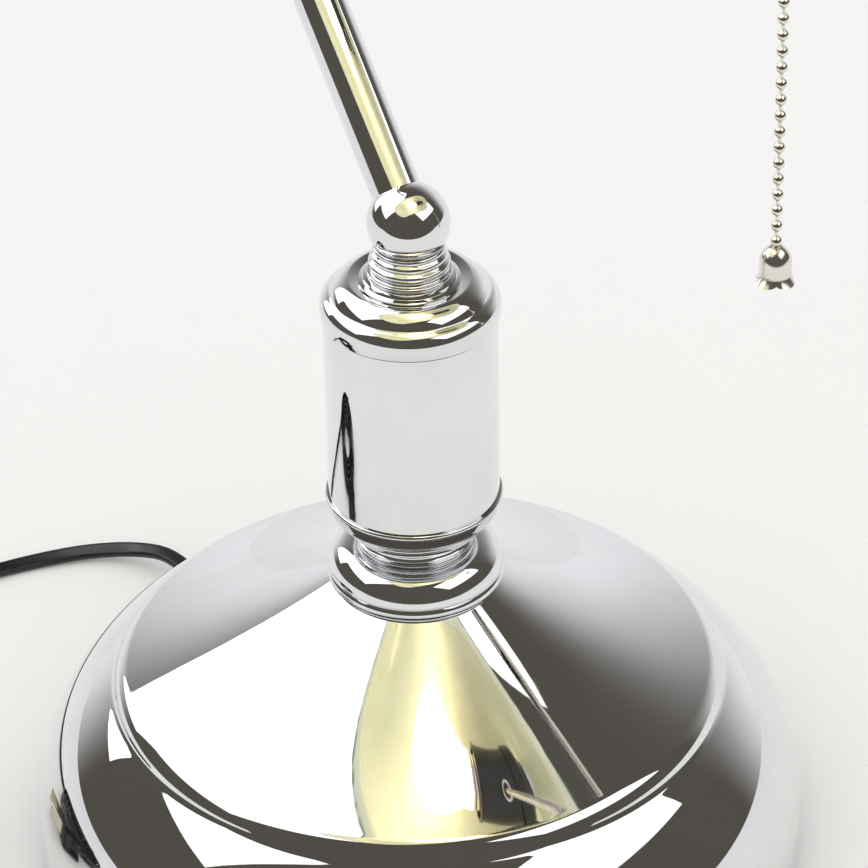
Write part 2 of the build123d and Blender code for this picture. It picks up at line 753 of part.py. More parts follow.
# Lampholder cap: the moulded back shell, with the nipple boss that the strap clamps
cap_mouth = 84.0
with BuildPart() as holder_cap:
    with BuildSketch(holder_plane):
        with BuildLine():
            Line((cap_mouth, holder_radius), (cap_mouth, holder_radius + 1.2))
            Line((cap_mouth, holder_radius + 1.2), (holder_back - 9.0, holder_radius + 1.2))
            ThreePointArc(
                (holder_back - 9.0, holder_radius + 1.2),
                (holder_back - 4.4, holder_radius - 2.4),
                (holder_back - 2.0, 9.0),
            )
            Polyline(
                (holder_back - 2.0, 9.0),
                (holder_back, 8.2),
                (holder_back, nipple_radius + 0.05),
                (holder_back - 4.0, nipple_radius + 0.05),
            )
            Line((holder_back - 4.0, nipple_radius + 0.05), (holder_back - 4.0, 9.0))
            ThreePointArc(
                (holder_back - 4.0, 9.0),
                (holder_back - 6.0, holder_radius - 3.6),
                (holder_back - 9.6, holder_radius - 0.6),
            )
            Line((holder_back - 9.6, holder_radius - 0.6), (cap_mouth + 4, holder_radius - 0.6))
            Line((cap_mouth + 4, holder_radius - 0.6), (cap_mouth + 4, holder_radius))
            Line((cap_mouth + 4, holder_radius), (cap_mouth, holder_radius))
        make_face()
    revolve(axis=holder_axis)
holder_cap.part.label = "holder_cap"
export_step(holder_cap.part, "parts/holder_cap.step")

# Lampholder shell: the front tube with a rolled mouth, holed for the chain guide
with BuildPart() as holder_shell:
    with BuildSketch(holder_plane):
        with BuildLine():
            Line((holder_mouth, holder_radius - 1.4), (holder_mouth, holder_radius))
            ThreePointArc(
                (holder_mouth, holder_radius),
                (holder_mouth + 1.2, holder_radius + 0.9),
                (holder_mouth + 2.6, holder_radius - 0.05),
            )
            Polyline(
                (holder_mouth + 2.6, holder_radius - 0.05),
                (cap_mouth + 3.8, holder_radius - 0.05),
                (cap_mouth + 3.8, holder_radius - 1.4),
                (holder_mouth, holder_radius - 1.4),
            )
        make_face()
    revolve(axis=holder_axis)
    with BuildSketch(Plane.XY.offset(holder_height)):
        with Locations((chain_x, -shade_forward)):
            Circle(guide_bore + 1.0)
    extrude(amount=-holder_radius - 2, mode=Mode.SUBTRACT)
holder_shell.part.label = "holder_shell"
export_step(holder_shell.part, "parts/holder_shell.step")

# Switch core: the insulating body, with the slot that the chain runs in
core_front = 62.0
core_radius = holder_radius - 1.4
with BuildPart() as switch_core:
    with BuildSketch(Plane(origin=(core_front, -shade_forward, holder_height), z_dir=(1, 0, 0))):
        Circle(core_radius)
    extrude(amount=cap_mouth + 3 - core_front)
    with BuildSketch(Plane(origin=(core_front, -shade_forward, holder_height), z_dir=(1, 0, 0))):
        Circle(3.2)
    extrude(amount=3, mode=Mode.SUBTRACT)
    with BuildSketch(Plane.XY.offset(holder_height - core_radius - 1)):
        with Locations((chain_x, -shade_forward)):
            Circle(guide_bore + 0.4)
    extrude(amount=core_radius, mode=Mode.SUBTRACT)
switch_core.part.label = "switch_core"
export_step(switch_core.part, "parts/switch_core.step")

# Screw shell: the threaded metal sleeve that takes the bulb
with BuildPart() as screw_shell:
    with BuildSketch(holder_plane):
        with BuildLine():
            Polyline(
                (core_front, 5.0),
                (core_front, cap_thread_radius + 0.95),
                (holder_mouth + 2, cap_thread_radius + 0.95),
                (holder_mouth + 2, cap_thread_radius + 0.45),
                (core_front - 0.5, cap_thread_radius + 0.45),
                (core_front - 0.5, 5.0),
                close=True,
            )
        make_face()
    revolve(axis=holder_axis)
screw_shell.part.label = "screw_shell"
export_step(screw_shell.part, "parts/screw_shell.step")

# Centre contact: the pin at the bottom of the screw shell
with BuildPart() as centre_contact:
    with BuildSketch(Plane(origin=(core_front + 3, -shade_forward, holder_height), z_dir=(-1, 0, 0))):
        Circle(3.0)
    extrude(amount=4.0)
    fillet(centre_contact.faces().sort_by(Axis.X)[0].edges(), radius=0.8)
centre_contact.part.label = "centre_contact"
export_step(centre_contact.part, "parts/centre_contact.step")

# Lampholder nipple and its nut, outside the strap
with BuildPart() as holder_nipple:
    with BuildSketch(Plane(origin=(holder_back - 4.0, -shade_forward, holder_height), z_dir=(1, 0, 0))):
        Circle(nipple_radius)
        Circle(3.2, mode=Mode.SUBTRACT)
    extrude(amount=4 + bracket_thickness + 4.2)
holder_nipple.part.label = "holder_nipple"
export_step(holder_nipple.part, "parts/holder_nipple.step")

with BuildPart() as holder_locknut:
    with BuildSketch(
        Plane(origin=(holder_back + bracket_thickness, -shade_forward, holder_height), z_dir=(1, 0, 0))
    ):
        RegularPolygon(radius=7.5, side_count=6, major_radius=False)
        Circle(nipple_radius, mode=Mode.SUBTRACT)
    extrude(amount=3.2)
holder_locknut.part.label = "holder_locknut"
export_step(holder_locknut.part, "parts/holder_locknut.step")

# Chain guide: a flared bush in the shell's underside
guide_top = holder_height - holder_radius + 1.4
guide_mouth = holder_height - holder_radius - 5.0
with BuildPart() as chain_guide:
    with BuildSketch(chain_plane):
        with BuildLine():
            Line((guide_bore, guide_top), (guide_bore + 0.9, guide_top))
            Line((guide_bore + 0.9, guide_top), (guide_bore + 0.9, guide_mouth + 2.2))
            ThreePointArc(
                (guide_bore + 0.9, guide_mouth + 2.2),
                (guide_bore + 1.3, guide_mouth + 0.8),
                (guide_bore + 2.2, guide_mouth),
            )
            Line((guide_bore + 2.2, guide_mouth), (guide_bore + 1.3, guide_mouth))
            ThreePointArc(
                (guide_bore + 1.3, guide_mouth),
                (guide_bore + 0.4, guide_mouth + 1.0),
                (guide_bore, guide_mouth + 2.6),
            )
            Line((guide_bore, guide_mouth + 2.6), (guide_bore, guide_top))
        make_face()
    revolve(axis=chain_axis)
chain_guide.part.label = "chain_guide"
export_step(chain_guide.part, "parts/chain_guide.step")

# Pull chain, from the bell up to the pivot in the guide's mouth: beads at a steady pitch on a wire
bell_top = bell_bottom + bell_height
bead_first = bell_top + bead_radius
hanging_beads = 37
waist = math.sqrt(bead_radius**2 - link_radius**2)
chain_pivot = bead_first + (hanging_beads - 0.5) * bead_pitch
with BuildPart() as pull_chain:
    with BuildSketch(chain_plane):
        with BuildLine():
            for bead in range(hanging_beads):
                centre = bead_first + bead * bead_pitch
                foot = (link_radius, centre - waist)
                ThreePointArc(foot, (bead_radius, centre), (link_radius, centre + waist))
                if bead < hanging_beads - 1:
                    Line((link_radius, centre + waist), (link_radius, centre + bead_pitch - waist))
            Line((link_radius, centre + waist), (link_radius, chain_pivot))
            RadiusArc((link_radius, chain_pivot), (0, chain_pivot + link_radius), -link_radius)
            Line((0, chain_pivot + link_radius), (0, bead_first - waist))
            Line((0, bead_first - waist), (link_radius, bead_first - waist))
        make_face()
    revolve(axis=chain_axis)
pull_chain.part.label = "pull_chain"
export_step(pull_chain.part, "parts/pull_chain.step")

# Switch slider: the plunger in the core, with the two top beads that run in the guide
slider_radius = 1.9
slider_height = 5.0
first_inside = bead_first + hanging_beads * bead_pitch
second_inside = first_inside + bead_pitch
slider_bottom = second_inside + bead_radius
with BuildPart() as switch_slider:
    with BuildSketch(chain_plane):
        with BuildLine():
            Line((0, first_inside - bead_radius), (0, slider_bottom + slider_height))
            Line((0, slider_bottom + slider_height), (slider_radius, slider_bottom + slider_height))
            Line((slider_radius, slider_bottom + slider_height), (slider_radius, slider_bottom))
            Line((slider_radius, slider_bottom), (link_radius, slider_bottom))
            Line((link_radius, slider_bottom), (link_radius, second_inside + waist))
            ThreePointArc(
                (link_radius, second_inside + waist),
                (bead_radius, second_inside),
                (link_radius, second_inside - waist),
            )
            Line((link_radius, second_inside - waist), (link_radius, first_inside + waist))
            ThreePointArc(
                (link_radius, first_inside + waist),
                (bead_radius * math.cos(0.4), first_inside + bead_radius * math.sin(0.4)),
                (0, first_inside - bead_radius),
            )
        make_face()
    revolve(axis=chain_axis)
switch_slider.part.label = "switch_slider"
export_step(switch_slider.part, "parts/switch_slider.step")

# Chain bell: a satin dome over a flared skirt that is cut into four petals
skirt_height = 2.6
dome_bottom = bell_bottom + skirt_height + 1.6
with BuildPart() as chain_bell:
    with BuildSketch(chain_plane):
        with BuildLine():
            Line((0, bell_top), (1.4, bell_top))
            ThreePointArc((1.4, bell_top), (3.3, bell_top - 1.9), (bell_radius, dome_bottom))
            ThreePointArc(
                (bell_radius, dome_bottom),
                (bell_radius - 0.35, bell_bottom + skirt_height),
                (bell_skirt_radius, bell_bottom),
            )
            Line((bell_skirt_radius, bell_bottom), (bell_skirt_radius - 0.8, bell_bottom))
            ThreePointArc(
                (bell_skirt_radius - 0.8, bell_bottom),
                (bell_radius - 1.1, bell_bottom + skirt_height),
                (bell_radius - 0.9, dome_bottom),
            )
            Polyline(
                (bell_radius - 0.9, dome_bottom),
                (1.8, bell_top - 2.0),
                (0, bell_top - 2.0),
                (0, bell_top),
            )
        make_face()
    revolve(axis=chain_axis)
    with BuildSketch(Plane.XY.offset(bell_bottom)):
        with Locations((chain_x, -shade_forward)):
            with PolarLocations(bell_skirt_radius + 0.5, 4, start_angle=60):
                Circle(1.5)
    extrude(amount=2.0, mode=Mode.SUBTRACT)
chain_bell.part.label = "chain_bell"
export_step(chain_bell.part, "parts/chain_bell.step")

# Bulb: a frosted globe on a threaded cap with a centre contact
glass_neck = 13.6
globe_centre = bulb_tip + bulb_radius
tip_flat = 2.5
globe_start = (globe_centre + bulb_radius * 0.34, bulb_radius * 0.94)
globe_middle = (globe_centre - bulb_radius * 0.6, bulb_radius * 0.8)
with BuildPart() as bulb_glass:
    with BuildSketch(holder_plane):
        with BuildLine():
            Line((bulb_tip, 0), (bulb_foot, 0))
            Line((bulb_foot, 0), (bulb_foot, glass_neck))
            Line((bulb_foot, glass_neck), (bulb_foot - 10.0, glass_neck + 1.5))
            ThreePointArc((bulb_foot - 10.0, glass_neck + 1.5), (bulb_foot - 22.0, 20.8), globe_start)
            ThreePointArc(globe_start, globe_middle, (bulb_tip, tip_flat))
            Line((bulb_tip, tip_flat), (bulb_tip, 0))
        make_face()
    revolve(axis=holder_axis)
bulb_glass.part.label = "bulb_glass"
export_step(bulb_glass.part, "parts/bulb_glass.step")

thread_pitch = 3.6
thread_start = bulb_foot + 3.2
with BuildPart() as bulb_cap:
    with BuildSketch(holder_plane):
        with BuildLine():
            Line((bulb_foot, 0), (bulb_foot, cap_thread_radius - 0.2))
            Line((bulb_foot, cap_thread_radius - 0.2), (thread_start, cap_thread_radius - 0.4))
            for turn in range(4):
                start = thread_start + turn * thread_pitch
                ThreePointArc(
                    (start, cap_thread_radius - 0.4),
                    (start + thread_pitch / 2, cap_thread_radius + 0.2),
                    (start + thread_pitch, cap_thread_radius - 0.4),
                )
            thread_end = thread_start + 4 * thread_pitch
            Polyline(
                (thread_end, cap_thread_radius - 0.4),
                (thread_end + 2.4, 6.0),
                (thread_end + 2.4, 0),
                (bulb_foot, 0),
            )
        make_face()
    revolve(axis=holder_axis)
bulb_cap.part.label = "bulb_cap"
export_step(bulb_cap.part, "parts/bulb_cap.step")

with BuildPart() as bulb_contact:
    with BuildSketch(Plane(origin=(thread_end + 2.4, -shade_forward, holder_height), z_dir=(1, 0, 0))):
        Circle(4.0)
    extrude(amount=core_front - 1.0 - thread_end - 2.4, taper=30)
bulb_contact.part.label = "bulb_contact"
export_step(bulb_contact.part, "parts/bulb_contact.step")

# Cord relief: a plug through the shell's wall, a round flange and a tapered tail, moulded as one
relief_plug = 4.5
flange_thickness = 2.0
relief_end = exit_wall + relief_length
relief_base = Plane(origin=exit_point(exit_wall - relief_plug), x_dir=(0, 0, 1), z_dir=exit_direction)
with BuildPart() as cord_relief:
    with BuildSketch(relief_base):
        Circle(relief_hole)
    extrude(amount=relief_plug)
    with BuildSketch(relief_base.offset(relief_plug)):
        Circle(6.0)
    extrude(amount=flange_thickness)
    fillet(cord_relief.faces().sort_by(Axis.Y)[-1].edges(), radius=0.8)
    with BuildSketch(relief_base.offset(relief_plug + flange_thickness)):
        Circle(4.2)
    with BuildSketch(relief_base.offset(relief_plug + relief_length)):
        Circle(cord_radius + 0.5)
    loft()
cord_relief.part.label = "cord_relief"
export_step(cord_relief.part, "parts/cord_relief.step")

# Free stretch of the cord: out of the relief, round to the left and along the table to the coil
coil_x = coil_centre[0]
coil_start = coil_centre[1] + coil_outer_radius
cord_route = [
    exit_point(relief_end),
    exit_point(relief_end + 11.5),
    (-6.8, 141.3, 4.8),
    (-16.8, 150.1, 2.7),
    (-29.0, 154.5, 2.3),
    (-44.2, 157.1, 2.3),
    (-60.4, 158.4, 2.3),
    (-77.5, 158.3, 2.4),
    (-94.9, 156.9, 2.6),
    (-112.7, 154.2, 2.8),
    (-129.0, 150.5, 2.9),
    (-143.0, coil_start, coil_rest),
    (coil_x + coil_lead, coil_start, coil_rest),
]


def route_radii(route):
    """Fillet at each inner point: 0.45 of the shorter run, divided by the tangent of half the turn."""
    radii = []
    for before, here, after in zip(route, route[1:], route[2:]):
        first = Vector(here) - Vector(before)
        second = Vector(after) - Vector(here)
        turn = math.radians(first.get_angle(second))
        radii.append(0.45 * min(first.length, second.length) / math.tan(turn / 2))
    return radii


cord_radii = route_radii(cord_route)
with BuildPart() as cord_tube:
    with BuildLine() as cord_line:
        FilletPolyline(*cord_route, radius=cord_radii)
    with BuildSketch(Plane(origin=cord_line.line @ 0, z_dir=cord_line.line % 0)):
        Circle(cord_radius)
    sweep(path=cord_line.line)
cord_tube.part.label = "cord_tube"
export_step(cord_tube.part, "parts/cord_tube.step")
cord_section = math.pi * cord_radius**2
tube_length = cord_line.wires()[0].length
print("cord radii", [round(radius) for radius in cord_radii])
print("cord runs", [round((Vector(b) - Vector(a)).length, 1) for a, b in zip(cord_route, cord_route[1:])])
tube_ratio = cord_tube.part.volume / cord_section / tube_length
print("tube length", round(tube_length, 1), "volume ratio", round(tube_ratio, 4))

# Coil: half circles that spiral in on the table, climb one layer and spiral out above it. A side of 1
# is the way down the left, where the coil starts, and -1 is the way up the right.
layer_two = coil_rest + coil_pitch
coil_radii = [coil_outer_radius - coil_pitch / 2 * turn for turn in range(coil_half_turns)]
inner_radius = coil_outer_radius - coil_pitch / 2 * coil_half_turns
with BuildPart() as cord_coil:
    with BuildLine() as coil_line:
        Line((coil_x + coil_lead, coil_start, coil_rest), (coil_x, coil_start, coil_rest))
        place = coil_start
        side = 1
        for radius in coil_radii:
            start = (coil_x, place, coil_rest)
            middle = (coil_x - side * radius, place - side * radius, coil_rest)
            place -= 2 * side * radius
            ThreePointArc(start, middle, (coil_x, place, coil_rest))
            side = -side
        climb_start = (coil_x, place, coil_rest)
        climb_reach = math.sqrt(inner_radius**2 + coil_pitch**2 / 4)
        climb_middle = (coil_x - side * climb_reach, place - side * inner_radius, coil_rest + coil_pitch / 2)
        place -= 2 * side * inner_radius
        climb = TangentArc(climb_start, climb_middle, tangent=(-side, 0, 0))
        TangentArc(climb_middle, (coil_x, place, layer_two), tangent=climb % 1)
        side = -side
        for radius in reversed(coil_radii):
            start = (coil_x, place, layer_two)
            middle = (coil_x - side * radius, place - side * radius, layer_two)
            place -= 2 * side * radius
            ThreePointArc(start, middle, (coil_x, place, layer_two))
            side = -side
        plug_start = (coil_x + plug_lead, place, layer_two)
        Line((coil_x, place, layer_two), plug_start)
    with BuildSketch(Plane(origin=coil_line.line @ 0, z_dir=coil_line.line % 0)):
        Circle(cord_radius)
    sweep(path=coil_line.line)
cord_coil.part.label = "cord_coil"
export_step(cord_coil.part, "parts/cord_coil.step")

# Least gap of the coil to itself, between points further apart along it than half a small turn
coil_length = coil_line.wires()[0].length
steps = round(coil_length / 3)
coil_points = [coil_line.wires()[0].position_at(step / steps) for step in range(steps + 1)]
apart = 14
least_gap = min(
    (coil_points[later] - coil_points[earlier]).length
    for earlier in range(steps + 1)
    for later in range(earlier + apart, steps + 1)
)
coil_ratio = cord_coil.part.volume / cord_section / coil_length
cord_length = relief_length + tube_length + coil_length
print("coil length", round(coil_length, 1), "volume ratio", round(coil_ratio, 4))
print("coil least gap", round(least_gap - 2 * cord_radius, 2), "cord in all", round(cord_length))

# Cord tie: a flat band round both layers on the coil's left
tie_y = coil_centre[1] - coil_pitch / 2
tie_left = coil_x - coil_outer_radius - cord_radius - 0.05
tie_right = coil_x - math.sqrt(coil_radii[-1] ** 2 - tie_width**2) + cord_radius + 0.05
tie_inside = layer_two - coil_rest + 2 * cord_radius + 0.1
with BuildPart() as cord_tie:
    with BuildSketch(upright_plane((tie_left + tie_right) / 2, tie_y, (coil_rest + layer_two) / 2)):
        RectangleRounded(tie_right - tie_left + 2 * tie_thickness, tie_inside + 2 * tie_thickness, 2.6)
        RectangleRounded(tie_right - tie_left, tie_inside, 2.0, mode=Mode.SUBTRACT)
    extrude(amount=tie_width / 2, both=True)
cord_tie.part.label = "cord_tie"
export_step(cord_tie.part, "parts/cord_tie.step")

# Plug: a moulded body that lies on the table, drawn in to the cord at its back
plug_plane = Plane(origin=plug_start, x_dir=(0, 1, 0), z_dir=(1, 0, 0))
plug_height = 2 * layer_two
with BuildPart() as plug_body:
    with BuildSketch(plug_plane):
        Circle(cord_radius + 1.2)
    with BuildSketch(plug_plane.offset(plug_tail)):
        Circle(6.0)
    loft()
    with BuildSketch(plug_plane.offset(plug_tail)):
        RectangleRounded(plug_width, plug_height, 5.0)
    extrude(amount=plug_length)
    fillet(plug_body.faces().sort_by(Axis.X)[-1].edges(), radius=1.5)
    with BuildSketch(plug_plane.offset(plug_tail)):
        with Locations((plug_width / 2 + 5.6, 0), (-plug_width / 2 - 5.6, 0)):
            Circle(8.0)
    extrude(amount=plug_length * 0.6, mode=Mode.SUBTRACT)
plug_body.part.label = "plug_body"
export_step(plug_body.part, "parts/plug_body.step")

blade_thickness = 1.5
blade_width = 6.35
with BuildPart() as plug_blades:
    with BuildSketch(plug_plane.offset(plug_tail + plug_length)):
        with Locations((blade_spacing / 2, 0), (-blade_spacing / 2, 0)):
            Rectangle(blade_thickness, blade_width)
    extrude(amount=blade_length)
    chamfer(plug_blades.faces().group_by(Axis.X)[-1].edges().filter_by(Axis.Z), length=0.4)
plug_blades.part.label = "plug_blades"
export_step(plug_blades.part, "parts/plug_blades.step")
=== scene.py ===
import bpy
import bmesh
import math
import numpy as np
from mathutils import Matrix


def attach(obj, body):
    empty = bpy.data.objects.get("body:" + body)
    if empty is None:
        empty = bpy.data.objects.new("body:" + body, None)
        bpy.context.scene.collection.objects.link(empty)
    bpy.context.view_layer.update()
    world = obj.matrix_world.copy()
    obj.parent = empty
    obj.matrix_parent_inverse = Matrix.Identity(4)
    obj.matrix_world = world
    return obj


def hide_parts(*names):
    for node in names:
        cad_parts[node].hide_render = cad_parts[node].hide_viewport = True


# The lamp's looks. Shapes are worked out in millimetres and put into the meshes in metres.
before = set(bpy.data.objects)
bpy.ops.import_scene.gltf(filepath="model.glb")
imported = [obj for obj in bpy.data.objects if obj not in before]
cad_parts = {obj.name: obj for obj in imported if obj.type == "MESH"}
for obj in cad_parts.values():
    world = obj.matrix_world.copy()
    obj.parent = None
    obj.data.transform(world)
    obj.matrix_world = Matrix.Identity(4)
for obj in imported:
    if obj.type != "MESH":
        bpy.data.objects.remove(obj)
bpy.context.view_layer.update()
scene = bpy.context.scene
MM = 0.001

# Main sizes, as in the part's own source
SHADE_FORWARD = 48.0
SHADE_MOUTH = 323.0
GLASS_TOP = SHADE_MOUTH + 74.0
KNUCKLE_HEIGHT = 415.0
HOLDER_START = 40.0
HOLDER_HEIGHT = SHADE_MOUTH + 29.2
BALL_HEIGHT = 181.0
ARM_LEAN = math.radians(44.3)
CHAIN_X = 71.0
BELL_BOTTOM = 166.9
EXIT_WAY = math.radians(91.0)
EXIT_HEIGHT = 7.2
BASE_RADIUS = 96.6
SHOULDER_FOOT = 12.0
SHOULDER_RADIUS = 47.3
SHOULDER_CENTRE = 49.3
BASE_WALL = 1.2


# Camera: the photograph looks down at the stem from the front left, turned against the shade
YAW = math.radians(30.0)
ELEVATION = math.radians(34.0)
ROLL = math.radians(1.05)
PICTURE_WIDTH = 868
SENSOR_WIDTH = 36.0
FOCAL_PIXELS = 4500.0
DISTANCE = 1092.0
OFFSET = (-20.8, -52.1)
AIM_HEIGHT = 106.0


def from_picture(x, y, z=0.0):
    """A direction given to the right, away and up in the picture, turned into the lamp's own axes."""
    return np.array([
        x * math.cos(YAW) + y * math.sin(YAW),
        -x * math.sin(YAW) + y * math.cos(YAW),
        z,
    ])


look = from_picture(0, math.cos(ELEVATION), -math.sin(ELEVATION))
level = from_picture(1, 0, 0)
upward = from_picture(0, math.sin(ELEVATION), math.cos(ELEVATION))
right = math.cos(ROLL) * level - math.sin(ROLL) * upward
up = math.sin(ROLL) * level + math.cos(ROLL) * upward
aim = np.array([0.0, 0.0, AIM_HEIGHT])
step = DISTANCE / FOCAL_PIXELS
eye = (aim - look * DISTANCE - level * OFFSET[0] * step - upward * OFFSET[1] * step) * MM
camera_data = bpy.data.cameras.new("camera")
camera_data.sensor_width = SENSOR_WIDTH
camera_data.lens = FOCAL_PIXELS / PICTURE_WIDTH * SENSOR_WIDTH
camera_data.clip_start = 0.01
camera_data.clip_end = 50.0
camera = bpy.data.objects.new("camera", camera_data)
camera.matrix_world = Matrix([
    [right[0], up[0], -look[0], eye[0]],
    [right[1], up[1], -look[1], eye[1]],
    [right[2], up[2], -look[2], eye[2]],
    [0, 0, 0, 1],
])
scene.collection.objects.link(camera)
scene.camera = camera


# Shader building
def node(tree, kind, inputs=None, **settings):
    """Adds a shader node with its settings, and links or sets its inputs by name or number."""
    made = tree.nodes.new(kind)
    for key, value in settings.items():
        setattr(made, key, value)
    for key, value in (inputs or {}).items():
        if isinstance(value, bpy.types.NodeSocket):
            tree.links.new(value, made.inputs[key])
        else:
            made.inputs[key].default_value = value
    return made


def handling_marks():
    """Group of the marks that use leaves. Smudges are soft blots, hairlines are long thin scratches
    and specks are rare small dots of dust, each a mask from 0 to 1 on Object coordinates."""
    group = bpy.data.node_groups.new("handling marks", "ShaderNodeTree")
    for socket, value in (("Blot size", 30.0), ("Hairline size", 160.0), ("Dust size", 420.0)):
        made = group.interface.new_socket(socket, in_out="INPUT", socket_type="NodeSocketFloat")
        made.default_value = value
    for socket in ("Smudges", "Hairlines", "Specks"):
        group.interface.new_socket(socket, in_out="OUTPUT", socket_type="NodeSocketFloat")
    given = group.nodes.new("NodeGroupInput")
    result = group.nodes.new("NodeGroupOutput")
    place = node(group, "ShaderNodeTexCoord").outputs["Object"]
    blot = node(group, "ShaderNodeTexNoise", {
        "Vector": place, "Scale": given.outputs["Blot size"], "Detail": 5.0, "Roughness": 0.62})
    smudge = node(group, "ShaderNodeMapRange", {
        "Value": blot.outputs["Fac"], "From Min": 0.46, "From Max": 0.74})
    stretched = node(group, "ShaderNodeMapping", {
        "Vector": place, "Rotation": (0.5, 0.9, 0.3), "Scale": (1.0, 0.05, 1.0)})
    hair = node(group, "ShaderNodeTexNoise", {
        "Vector": stretched.outputs["Vector"], "Scale": given.outputs["Hairline size"], "Detail": 2.0})
    hairline = node(group, "ShaderNodeMapRange", {
        "Value": hair.outputs["Fac"], "From Min": 0.66, "From Max": 0.72})
    dots = node(group, "ShaderNodeTexVoronoi", {
        "Vector": place, "Scale": given.outputs["Dust size"], "Randomness": 1.0})
    rare = node(group, "ShaderNodeMapRange", {
        "Value": dots.outputs["Distance"], "From Min": 0.07, "From Max": 0.03})
    chosen = node(group, "ShaderNodeSeparateColor", {"Color": dots.outputs["Color"]})
    few = node(group, "ShaderNodeMath", {0: chosen.outputs["Red"], 1: 0.9}, operation="GREATER_THAN")
    speck = node(group, "ShaderNodeMath", {0: rare.outputs["Result"], 1: few.outputs["Value"]},
                 operation="MULTIPLY")
    group.links.new(smudge.outputs["Result"], result.inputs["Smudges"])
    group.links.new(hairline.outputs["Result"], result.inputs["Hairlines"])
    group.links.new(speck.outputs["Value"], result.inputs["Specks"])
    return group


MARKS = handling_marks()


def begin_finish(name):
    """A new material with an empty tree, and its Principled shader wired to the output."""
    material = bpy.data.materials.new(name)
    material.use_nodes = True
    tree = material.node_tree
    tree.nodes.clear()
    shader = tree.nodes.new("ShaderNodeBsdfPrincipled")
    output = tree.nodes.new("ShaderNodeOutputMaterial")
    tree.links.new(shader.outputs["BSDF"], output.inputs["Surface"])
    return material, tree, shader


def mixed(tree, mask, first, second):
    """Colour that runs from first to second with the mask."""
    mix = node(tree, "ShaderNodeMix", {"Factor": mask}, data_type="RGBA")
    for slot, colour in ((6, first), (7, second)):
        if isinstance(colour, bpy.types.NodeSocket):
            tree.links.new(colour, mix.inputs[slot])
        else:
            mix.inputs[slot].default_value = (*colour, 1.0)
    return mix.outputs[2]


def finish(name, colour, marked, rough, metallic=0.0, smudge=0.05, hairline=0.04, grain=None,
           blot=30.0, wave=None):
    """Procedural finish: colour fades to the marked colour under smudges and specks, roughness
    rises with smudges and hairlines, grain is (size, depth in mm) of a fine bump and wave the same
    for a slow unevenness of the surface."""
    material, tree, shader = begin_finish(name)
    shader.inputs["Metallic"].default_value = metallic
    marks = tree.nodes.new("ShaderNodeGroup")
    marks.node_tree = MARKS
    marks.inputs["Blot size"].default_value = blot
    dirt = node(tree, "ShaderNodeMath", {
        0: marks.outputs["Smudges"], 1: 0.45, 2: marks.outputs["Specks"]}, operation="MULTIPLY_ADD")
    tree.links.new(mixed(tree, dirt.outputs["Value"], colour, marked), shader.inputs["Base Color"])
    worn = node(tree, "ShaderNodeMath", {
        0: marks.outputs["Smudges"], 1: smudge, 2: rough}, operation="MULTIPLY_ADD")
    scratched = node(tree, "ShaderNodeMath", {
        0: marks.outputs["Hairlines"], 1: hairline, 2: worn.outputs["Value"]},
        operation="MULTIPLY_ADD")
    tree.links.new(scratched.outputs["Value"], shader.inputs["Roughness"])
    normal = None
    for detail in (wave, grain):
        if detail:
            size, depth = detail
            place = node(tree, "ShaderNodeTexCoord").outputs["Object"]
            noise = node(tree, "ShaderNodeTexNoise", {"Vector": place, "Scale": size, "Detail": 3.0})
            bump = node(tree, "ShaderNodeBump", {
                "Height": noise.outputs["Fac"], "Strength": 1.0, "Distance": depth * MM})
            if normal:
                tree.links.new(normal, bump.inputs["Normal"])
            normal = bump.outputs["Normal"]
    if normal:
        tree.links.new(normal, shader.inputs["Normal"])
    return material


chrome = finish("polished chrome", (0.80, 0.81, 0.83), (0.66, 0.66, 0.66), 0.015, 1.0,
                smudge=0.03, hairline=0.02, wave=(55.0, 0.012))
satin_nickel = finish("satin nickel", (0.80, 0.76, 0.70), (0.60, 0.57, 0.52), 0.16, 1.0,
                      smudge=0.08, grain=(1500.0, 0.004))
bright_nickel = finish("bright nickel", (0.82, 0.78, 0.72), (0.62, 0.58, 0.52), 0.06, 1.0,
                       smudge=0.05)
zinc_steel = finish("zinc plated steel", (0.62, 0.62, 0.60), (0.45, 0.44, 0.42), 0.30, 1.0,
                    smudge=0.15, grain=(900.0, 0.01))
cast_weight = finish("cast iron", (0.11, 0.11, 0.115), (0.16, 0.12, 0.10), 0.62, 0.6,
                     smudge=0.15, grain=(350.0, 0.25))
felt = finish("dark felt", (0.03, 0.06, 0.04), (0.06, 0.08, 0.06), 0.95, smudge=0.0,
              grain=(2200.0, 0.2), blot=120.0)
black_vinyl = finish("black vinyl", (0.012, 0.012, 0.013), (0.03, 0.03, 0.03), 0.22,
                     smudge=0.18, hairline=0.1, grain=(700.0, 0.01))
tie_vinyl = finish("tie vinyl", (0.03, 0.03, 0.032), (0.06, 0.06, 0.06), 0.5, smudge=0.2)
black_phenolic = finish("black phenolic", (0.02, 0.019, 0.018), (0.05, 0.045, 0.04), 0.28,
                        smudge=0.15, grain=(420.0, 0.02))
gasket_rubber = finish("gasket rubber", (0.03, 0.03, 0.03), (0.06, 0.06, 0.06), 0.7, smudge=0.1,
                       grain=(900.0, 0.02))
brass = finish("plain brass", (0.78, 0.57, 0.26), (0.50, 0.34, 0.15), 0.25, 1.0, smudge=0.2)
blade_brass = finish("nickelled brass", (0.76, 0.70, 0.58), (0.55, 0.50, 0.40), 0.22, 1.0,
                     smudge=0.15)
cap_aluminium = finish("rolled aluminium", (0.80, 0.77, 0.70), (0.62, 0.58, 0.50), 0.28, 1.0,
                       smudge=0.12)


